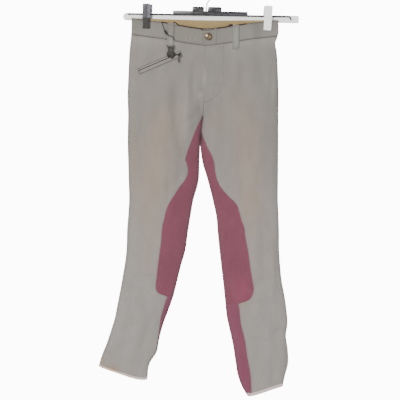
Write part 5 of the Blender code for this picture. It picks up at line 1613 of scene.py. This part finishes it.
@dataclass
class ClipHanger:
    """The hanger: a white bar, a rod, a saddle plate, a wire hook and two spring clips."""

    bar_x: tuple[float, float] = (-200.0, 223.0)
    bar_height: float = 18.0
    bar_corner: float = 3.0
    bar_y: tuple[float, float] = (5.6, 11.1)
    rod_x: tuple[float, float] = (-188.0, 201.0)
    rod_drop: float = -6.0
    rod_y: float = 3.9
    rod_radius: float = 1.6
    saddle_x: tuple[float, float] = (-80.5, 99.5)
    hook_radius: float = 2.25
    hook_bend: float = 22.0
    clip_width: float = 18.0
    jaw_wall: float = 1.5
    coil_radius: float = 2.3

    # The hook's stem, x and how far below the hook's seat, from the saddle up to the bend
    STEM = ((0, 85.6), (0, 78), (0, 70), (0.8, 62), (5.5, 53), (14.5, 42.5), (21.5, 32.5))
    # A clip's jaws and the pressed rib of its front one: behind the side seams' plane, and drop
    FRONT_JAW = np.array(((-2.8, 28), (-2.9, 18), (-3.2, 8), (-4.6, -2), (-7.4, -18), (-8.9, -30)))
    BACK_JAW = np.array(((3.6, 28), (3.6, 14), (3.6, 2), (3.6, -12), (3.8, -30)))
    JAW_RIB = np.array(((-4.4, 22), (-4.6, 8), (-6.1, -2), (-8.7, -16), (-9.9, -26)))

    def bar(self) -> None:
        """The bar: one end a half circle, the other square with quarter circles at its corners."""
        r, corner = self.bar_height / 2, self.bar_corner
        turn = np.linspace(0, math.pi / 2, 12)
        top = np.stack([corner * np.sin(turn), corner * np.cos(turn)], axis=1)
        top += (self.bar_x[1] - corner, r - corner)
        right = np.concatenate([top, top[::-1] * (1, -1)])[::-1]
        turn = np.linspace(-math.pi / 2, math.pi / 2, 24)
        left = np.stack([self.bar_x[0] + r - r * np.cos(turn), -r * np.sin(turn)], axis=1)
        x, drop = np.concatenate([right, left]).T
        depth = self.bar_y[1] - self.bar_y[0]
        piece = extruded("bar_moulding", metres(x, self.bar_y[0], drop), (0, 1, 0), depth, 2.2, 5)
        dress(piece, PLASTIC, ["hanger_bar"])

    def rod(self) -> None:
        """The rod, with a small collar near one end and the other end bent down."""
        low, high = self.rod_x
        bend = ((high - 9.0, 0.0), (high - 3.0, 0.2), (high + 0.6, 1.6), (high + 2.2, 7.0))
        bend_x, bend_drop = smooth_path(bend, 16).T
        x = np.append(np.linspace(low, high - 18.0, 40), bend_x)
        drop = self.rod_drop + np.append(np.zeros(40), bend_drop)
        near = metres(np.linspace(low + 1.8, low + 4.2, 4), self.rod_y, self.rod_drop)
        parts = [
            tube("rod", metres(x, self.rod_y, drop), self.rod_radius, 20),
            tube("collar", near, self.rod_radius + 0.35, 20),
        ]
        dress(joined("rod_steel", parts), ROD_STEEL, ["hanger_rod"])

    def saddle(self) -> None:
        """The plate, rolled over along its top, with its two nubs over the bar."""
        low, high = self.saddle_x
        parts = [block("plate", (low, high), (0.4, 2.2), (-15.2, -5.0), 0.5)]
        roll = metres(np.linspace(low + 1.0, high - 1.0, 30), 1.3, -14.6)
        parts.append(tube("roll", roll, 0.95, 12))
        for x in ((-34.0, -5.2), (3.4, 36.6)):
            parts.append(block("nub", x, (0.2, 2.2), (-24.8, -13.0), 0.9))
            parts.append(block("nub_top", x, (0.1, 11.1), (-26.6, -15.2), 3.8))
        dress(joined("saddle_steel", parts), STEEL, ["hanger_saddle"])

    def hook(self) -> None:
        """The hook: up its stem, out to one side, and round the bend by 195 degrees."""
        radius = self.hook_bend + self.hook_radius
        turn = np.radians(195.0) * np.arange(13) / 12
        bend = np.stack([radius * np.cos(turn), self.hook_bend - radius * np.sin(turn)], axis=1)
        x, below = smooth_path(np.concatenate([self.STEM, bend]), 150).T
        path = stacked(x, 0.0, -below) * MM
        dress(tube("hook_wire", path, self.hook_radius, 24), CHROME, ["hanger_hook"])

    def jaw(self, line: Array, middle: float) -> Piece:
        """A bent plate: its side line, thickened away from the cloth and carried along X."""
        fine = smooth_path(line, 22)
        run = unit(np.gradient(fine, axis=0))
        off = np.stack([-run[:, 1], run[:, 0]], axis=1) * self.jaw_wall * np.sign(line[0, 0])
        y, drop = np.concatenate([fine, (fine + off)[::-1]]).T
        edge = metres(middle - self.clip_width / 2, y, drop)
        return extruded("jaw", edge, (1, 0, 0), self.clip_width, 0.35)

    def clip(self, side: Side, lean: float, shift: float, paint: Hard, grip_and_reflection: Hard) -> None:
        """A spring clip: two bent jaws with a grip pad and a sleeve whose colour is painted reflection,
        side lugs, and a spring on the rod.

        Args:
            side: which clip.
            lean: how far it leans about the rod's line, in degrees.
            shift: how far along X its back jaw is from its front one, in millimetres.
            paint: the jaws' finish.
            grip_and_reflection: the finish of its grip pad and of its sleeve, whose colour is painted
                reflection.
        """
        x, half = HALVES[side].clip_x, self.clip_width / 2
        plates = [self.jaw(self.FRONT_JAW, x), self.jaw(self.BACK_JAW, x + shift)]
        for near in (x - 4.6, x + 4.6):
            plates.append(block("lug", (near - 0.5, near + 0.5), (-5.0, 4.2), (-11.0, -1.4), 0.35))
        y, drop = smooth_path(self.JAW_RIB, 30).T
        plates.append(tube("rib", metres(x, y + 0.25, drop), 0.9, 12))
        turns = np.linspace(0, 2 * math.pi * 5, 140)
        y, drop = self.coil_radius * np.cos(turns), self.coil_radius * np.sin(turns)
        coil = metres(x - 3.6 + 7.2 * turns / turns[-1], self.rod_y + y, self.rod_drop + drop)
        # The pad lies between the jaws; the sleeve over the front jaw's lower part is there for its colour,
        # a painted reflection
        pads = [
            block("pad", (x - half + 0.6, x + half - 0.6), (-2.85, -2.45), (12.0, 27.6), 0.15),
            block("sleeve", (x - half + 0.6, x + half + 0.3), (-5.5, -2.6), (3.0, 28.8), 0.7),
        ]
        name = "clip_" + side.value
        made = (
            (joined(name + "_jaws", plates), paint, [name]),
            (joined(name + "_spring", [tube("spring", coil, 0.4, 8)]), ROD_STEEL, []),
            (joined(name + "_grips_and_reflection", pads), grip_and_reflection, []),
        )
        cos, sin = math.cos(math.radians(lean)), math.sin(math.radians(lean))
        turn = np.array(((cos, 0, -sin), (0, 1, 0), (sin, 0, cos)))
        pivot = metres(x, self.rod_y, self.rod_drop)
        for piece, finish, replaced in made:
            places = (read(piece.data.vertices, "co", 3) - pivot) @ turn + pivot
            piece.data.vertices.foreach_set("co", places.astype(np.float32).ravel())
            piece.data.update()
            dress(piece, finish, replaced)

    def build(self) -> None:
        """Builds the hanger."""
        self.bar()
        self.rod()
        self.saddle()
        self.hook()
        # Both clips are plated alike; the right one's dark sleeve and the left one's white finish are
        # painted reflections
        self.clip(Side.RIGHT, 0.0, 5.5, CLIP_STEEL, GRIP_AND_DARK_REFLECTION)
        self.clip(Side.LEFT, 3.0, -3.0, WHITE_REFLECTION_PAINT, WHITE_REFLECTION_PAINT)


# Each thread's finish and slot
THREADS = {
    "twill": (THREAD, "twill"), "plum": (PLUM_THREAD, "plum"), "pale": (PALE_THREAD, "binding"),
    "dark": (DARK_THREAD, "dark_metal"),
}


class Seam(NamedTuple):
    """A row of stitches: its points and normals, and the stitches' pitch, length and radius."""

    line: tuple[Array, Array]
    pitch: float = 4.0
    length: float = 2.9
    radius: float = 0.42


@dataclass
class Stitching:
    """The sewing: each stitch is a small bent capsule that dips into the cloth at both ends."""

    fly_width: float = 175.0
    fly_insets: tuple[float, float] = (2.4, 7.4)
    twill_inset: float = 2.2
    plum_inset: float = 1.5
    outer_inset: float = 5.0
    threads: dict[str, list[Seam]] = field(default_factory=lambda: {name: [] for name in THREADS})

    # The row where the front's stitches beside the plum cloth begin
    FRONT_TOP = {Side.RIGHT: 254.0, Side.LEFT: 288.0}
    # The rows along the waistband, and how far below the hem's seam those beside it lie
    BAND_ROWS = (TOP_ROW + 2.6, BAND_END_ROW - 2.4, BAND_END_ROW + 2.6)
    HEM_ROWS = (-2.2, 1.6)
    # How far above the zip's line the rows beside the welts are, and how far off the cloth
    POCKET_ROWS = ((5.6, 0.5), (-8.3, 1.6))
    # Points round a stitch, and its rings' place along it, thickness and height
    ROUND = 5
    RINGS = np.array(((0.0, 0.35, -0.5), (0.2, 1.0, 0.35), (0.8, 1.0, 0.35), (1.0, 0.35, -0.5)))
    # The hand-sewn opening beside the right ankle, and the folded edge by the button
    OPENING = ((-203.5, 742), (-208.5, 768), (-217, 794), (-229, 821))
    BAND_EDGE = ((-13, 31.4), (-5, 32), (4, 32), (13, 31), (20, 30.2))
    # The row down the overlap's end, and the x of three short pale rows on the waistband
    OVERLAP_EDGE = ((-5.2, 32.5), (-5.4, 50), (-5.2, 66))
    PALE_X = (-48, -37.5, -24)

    def add(self, thread: str, line: tuple[Array, Array], *size: float) -> None:
        """Adds a row of stitches to a thread, with their size where it isn't the usual one."""
        self.threads[thread].append(Seam(line, *size))

    def stitches(self, seam: Seam) -> tuple[Array, Array]:
        """Stitches along a line.

        Each is four rings of five points, whose radius and height both fall towards the ends.

        Args:
            seam: the line and the stitches' size.

        Returns:
            Points and quads.
        """
        path, normals = seam.line
        far = run_of(path)
        count = max(1, int(far[-1] / seam.pitch))
        middle = (np.arange(count) + 0.5) * far[-1] / count

        def at(distance: Array, values: Array) -> Array:
            """The values at some distances along the line."""
            return np.stack([np.interp(distance, far, axis) for axis in values.T], axis=1)

        start, end = at(middle - seam.length / 2, path), at(middle + seam.length / 2, path)
        normal = unit(at(middle, normals))
        side = unit(np.cross(unit(end - start), normal))
        t, size, rise = self.RINGS.T[:, :, None]
        size, rise = size * seam.radius * MM, rise * seam.radius * MM
        centre = start[:, None] + (end - start)[:, None] * t + normal[:, None] * rise
        points = centre[:, :, None] + rings(side, normal, self.ROUND)[:, None] * size[None, :, None]
        index = np.arange(count * len(t) * self.ROUND).reshape(count, len(t), self.ROUND)
        after = np.roll(index, -1, axis=2)
        quads = np.stack([index[:, :-1], index[:, 1:], after[:, 1:], after[:, :-1]], axis=3).reshape(-1, 4)
        return points.reshape(-1, 3), quads

    def sew(self, thread: str) -> None:
        """One piece of all the stitches of a thread, each closed by a cap at both ends."""
        points, faces, offset = [], [], 0
        for seam in self.threads[thread]:
            more, quads = self.stitches(seam)
            points.append(more)
            faces.append(quads + offset)
            offset += len(more)
        ends = np.arange(offset).reshape(-1, len(self.RINGS) * self.ROUND)
        caps = np.concatenate([ends[:, : self.ROUND], ends[:, : -self.ROUND - 1 : -1]])
        finish, slot = THREADS[thread]
        piece = new_piece("thread_" + thread, np.concatenate(points), [np.concatenate(faces), caps])
        dress(piece, finish)

    def along(self, face: Face, knots: Sequence[tuple], lift: float, count: int) -> tuple[Array, Array]:
        """Points and normals on a smooth line through places given as x and drop."""
        return on_cloth(face, *smooth_path(knots, count).T, lift)

    def seams(self, cloth: HalfCloth, patch_lift: float) -> None:
        """The stitches beside one half's seams.

        Args:
            cloth: the half's grid.
            patch_lift: how far the plum cloth stands out, in millimetres.
        """
        half, share = cloth.half, np.linspace(0.02, 0.99, 160)
        for face in Face:
            top = self.FRONT_TOP[half.side] if face is Face.FRONT else SEAT_TOP_ROW + 4
            rows = np.linspace(top, half.hem_row - 2, 420)
            edge, width = cloth.edge_share(face, rows), half.outline(rows).width()
            self.add("twill", cloth.seam_line(face, edge - self.twill_inset / width, rows, 0.1))
            self.add("plum", cloth.seam_line(face, edge + self.plum_inset / width, rows, patch_lift))
            rows = np.linspace(BAND_END_ROW + 2, half.hem_row - 3, 420)
            outer = self.outer_inset / half.outline(rows).width()
            self.add("twill", cloth.seam_line(face, outer, rows, 0.05))
            for row in self.BAND_ROWS:
                self.add("twill", cloth.seam_line(face, share, np.full_like(share, row), 0))
            for below in self.HEM_ROWS:
                row = np.full_like(share, half.hem_row + below)
                self.add("pale", cloth.seam_line(face, share, row, 0.3), 3.2, 2.3, 0.38)

    def fly(self, cloth: HalfCloth) -> None:
        """Two rows of stitches beside the fly's edge."""
        rows = np.linspace(BAND_END_ROW + 1, FLY_END_ROW - 1, 160)
        for inset in self.fly_insets:
            share = np.minimum(cloth.edge_share(Face.FRONT, rows) + inset / self.fly_width, 0.996)
            self.add("twill", cloth.seam_line(Face.FRONT, share, rows, FLY_LIFT))

    def pocket(self) -> None:
        """The rows beside the welts, the folded edge and the bars that close the pocket's ends."""
        pocket = ZipPocket()
        for off, lift in self.POCKET_ROWS:
            line = on_cloth(Face.FRONT, *pocket.line(np.linspace(0, 1, 90), off), lift)
            self.add("dark", line, 2.9, 2.5, 0.48)
        self.add("dark", self.along(Face.FRONT, self.BAND_EDGE, 1.7, 40), 3.9, 2.7, 1.05)
        for end in (0, 1):
            line = on_cloth(Face.FRONT, *pocket.line(end, np.linspace(-9, 5.6, 12)), 1.7)
            self.add("dark", line, 1.1, 2.2, 0.45)

    def belt_loops(self) -> None:
        """A bar across each end of each belt loop, and a row down each of its edges."""
        for _, face, x, top, bottom in Waist.LOOPS:
            for drop in (top + 3.4, bottom - 3):
                places = [(x + side, drop) for side in (-6.4, 0, 6.4)]
                self.add("twill", self.along(face, places, 2.9, 20), 1.3, 2, 0.42)
            for side in (-5.2, 5.2):
                places = [(x + side, drop) for drop in (top + 4, (top + bottom) / 2, bottom - 4)]
                self.add("twill", self.along(face, places, 3.7, 40), 3.2, 2.3, 0.36)

    def build(self, cloths: Sequence[HalfCloth], patch_lift: float) -> None:
        """Sews everything.

        Args:
            cloths: the grids of both halves.
            patch_lift: how far the plum cloth stands out, in millimetres.
        """
        for cloth in cloths:
            self.seams(cloth, patch_lift)
        self.fly(next(cloth for cloth in cloths if cloth.half.side is Side.LEFT))
        self.pocket()
        self.belt_loops()
        for x in self.PALE_X:
            places = ((x, 45), (x, 53), (x + 0.6, 61))
            self.add("pale", self.along(Face.FRONT, places, 0.3, 20), 3.4, 2.6, 0.5)
        self.add("twill", self.along(Face.FRONT, self.OVERLAP_EDGE, 2, 30))
        self.add("pale", self.along(Face.FRONT, self.OPENING, 0.4, 60), 2.6, 2.4, 0.75)
        for thread in THREADS:
            self.sew(thread)


@dataclass
class Studio:
    """The pale floor, the soft lights and the camera."""

    distance: float = 3.2
    lens: float = 120.0
    aim_x: float = -0.0074
    aim_z: float = -0.5332
    roll_degrees: float = -1.0
    floor_z: float = -1.30
    floor_radius: float = 1.45
    floor_fall: float = 0.04
    world_strength: float = 0.78
    backdrop_strength: float = 12.0
    backdrop_degrees: tuple[float, float] = (15.5, 12.5)

    # Each lamp's name, place, size, power and tint
    LAMPS = (
        ("key_light", (-1.5, -2.8, 0.9), 1.4, 112.0, "#fffaf3"),
        ("fill_light", (1.2, -3.0, -0.3), 1.8, 33.0, "#f4f8ff"),
        ("back_light", (0.6, 2.8, 0.6), 1.6, 10.0, "#ffffff"),
    )

    def floor(self) -> None:
        """A round floor whose rim falls away: z = floor - fall (r / R)^8."""
        share, steps = np.linspace(0.0005, 1, 24), 96
        circle = rings(np.array((1.0, 0.0, 0.0)), np.array((0.0, 1.0, 0.0)), steps)
        points = circle * (share * self.floor_radius)[:, None, None]
        points[..., 2] = (self.floor_z - self.floor_fall * share**8)[:, None]
        quads, middle, _ = ring_faces(len(share), steps)
        made = new_piece("studio_floor", points.reshape(-1, 3), [quads[:, ::-1], middle[:, ::-1]])
        made.data.materials.append(material_of(Paper()))

    def light(self, name: str, place: tuple, size: float, power: float, tint: str) -> None:
        """A square soft light that faces the garment's middle.

        Args:
            name: the lamp's name.
            place: in metres.
            size: of its side, in metres.
            power: in watts.
            tint: its colour.
        """
        data = bpy.data.lights.new(name, "AREA")
        data.shape, data.size, data.energy = "SQUARE", size, power
        data.color = linear(tint)[:3]
        made = bpy.data.objects.new(name, data)
        made.location = place
        aim = np.array((self.aim_x, 0.0, self.aim_z)) - np.array(place)
        flat = math.hypot(aim[0], aim[1])
        made.rotation_euler = (math.atan2(flat, -aim[2]), 0.0, math.atan2(-aim[0], aim[1]))
        bpy.context.scene.collection.objects.link(made)

    def air(self) -> None:
        """The world's white light, stronger in a round patch behind the garment."""
        world = bpy.data.worlds.new("studio_air")
        world.use_nodes = True
        tree = world.node_tree
        way = add_node(tree, "TexCoord", {}, "Generated")
        spread = {"Value": add_node(tree, "SeparateXYZ", {0: way}, "Y")}
        low, high = (math.cos(math.radians(limit)) for limit in self.backdrop_degrees)
        spread.update({"From Min": low, "From Max": high})
        spread.update({"To Min": self.world_strength, "To Max": self.backdrop_strength})
        level = add_node(tree, "MapRange", spread, interpolation_type="SMOOTHSTEP")
        wire(tree.nodes["Background"], {"Strength": level, "Color": linear("#ffffff")})
        bpy.context.scene.world = world

    def camera(self) -> None:
        """The camera, level with the garment's middle and turned a little about its own line."""
        data = bpy.data.cameras.new("camera")
        data.lens, data.sensor_width, data.clip_end = self.lens, 36.0, 50.0
        made = bpy.data.objects.new("camera", data)
        made.location = (self.aim_x, -self.distance + SIDE_SEAM_Y * MM, self.aim_z)
        made.rotation_euler = (math.pi / 2, math.radians(self.roll_degrees), 0.0)
        bpy.context.scene.collection.objects.link(made)
        bpy.context.scene.camera = made

    def build(self) -> None:
        """Builds the studio."""
        self.floor()
        for lamp in self.LAMPS:
            self.light(*lamp)
        self.air()
        self.camera()


def main() -> None:
    """Builds the studio, the garment, its fittings and its hanger."""
    logging.basicConfig(level=logging.INFO, format="%(name)s: %(message)s")
    Studio().build()
    CharmCord().build()
    panels = [LegPanels(side) for side in Side]
    cloths = [panel.build() for panel in panels]
    Waist().build()
    ZipPocket().build()
    ClipHanger().build()
    Stitching().build(cloths, panels[0].patch_lift)


if __name__ == "__main__":
    main()
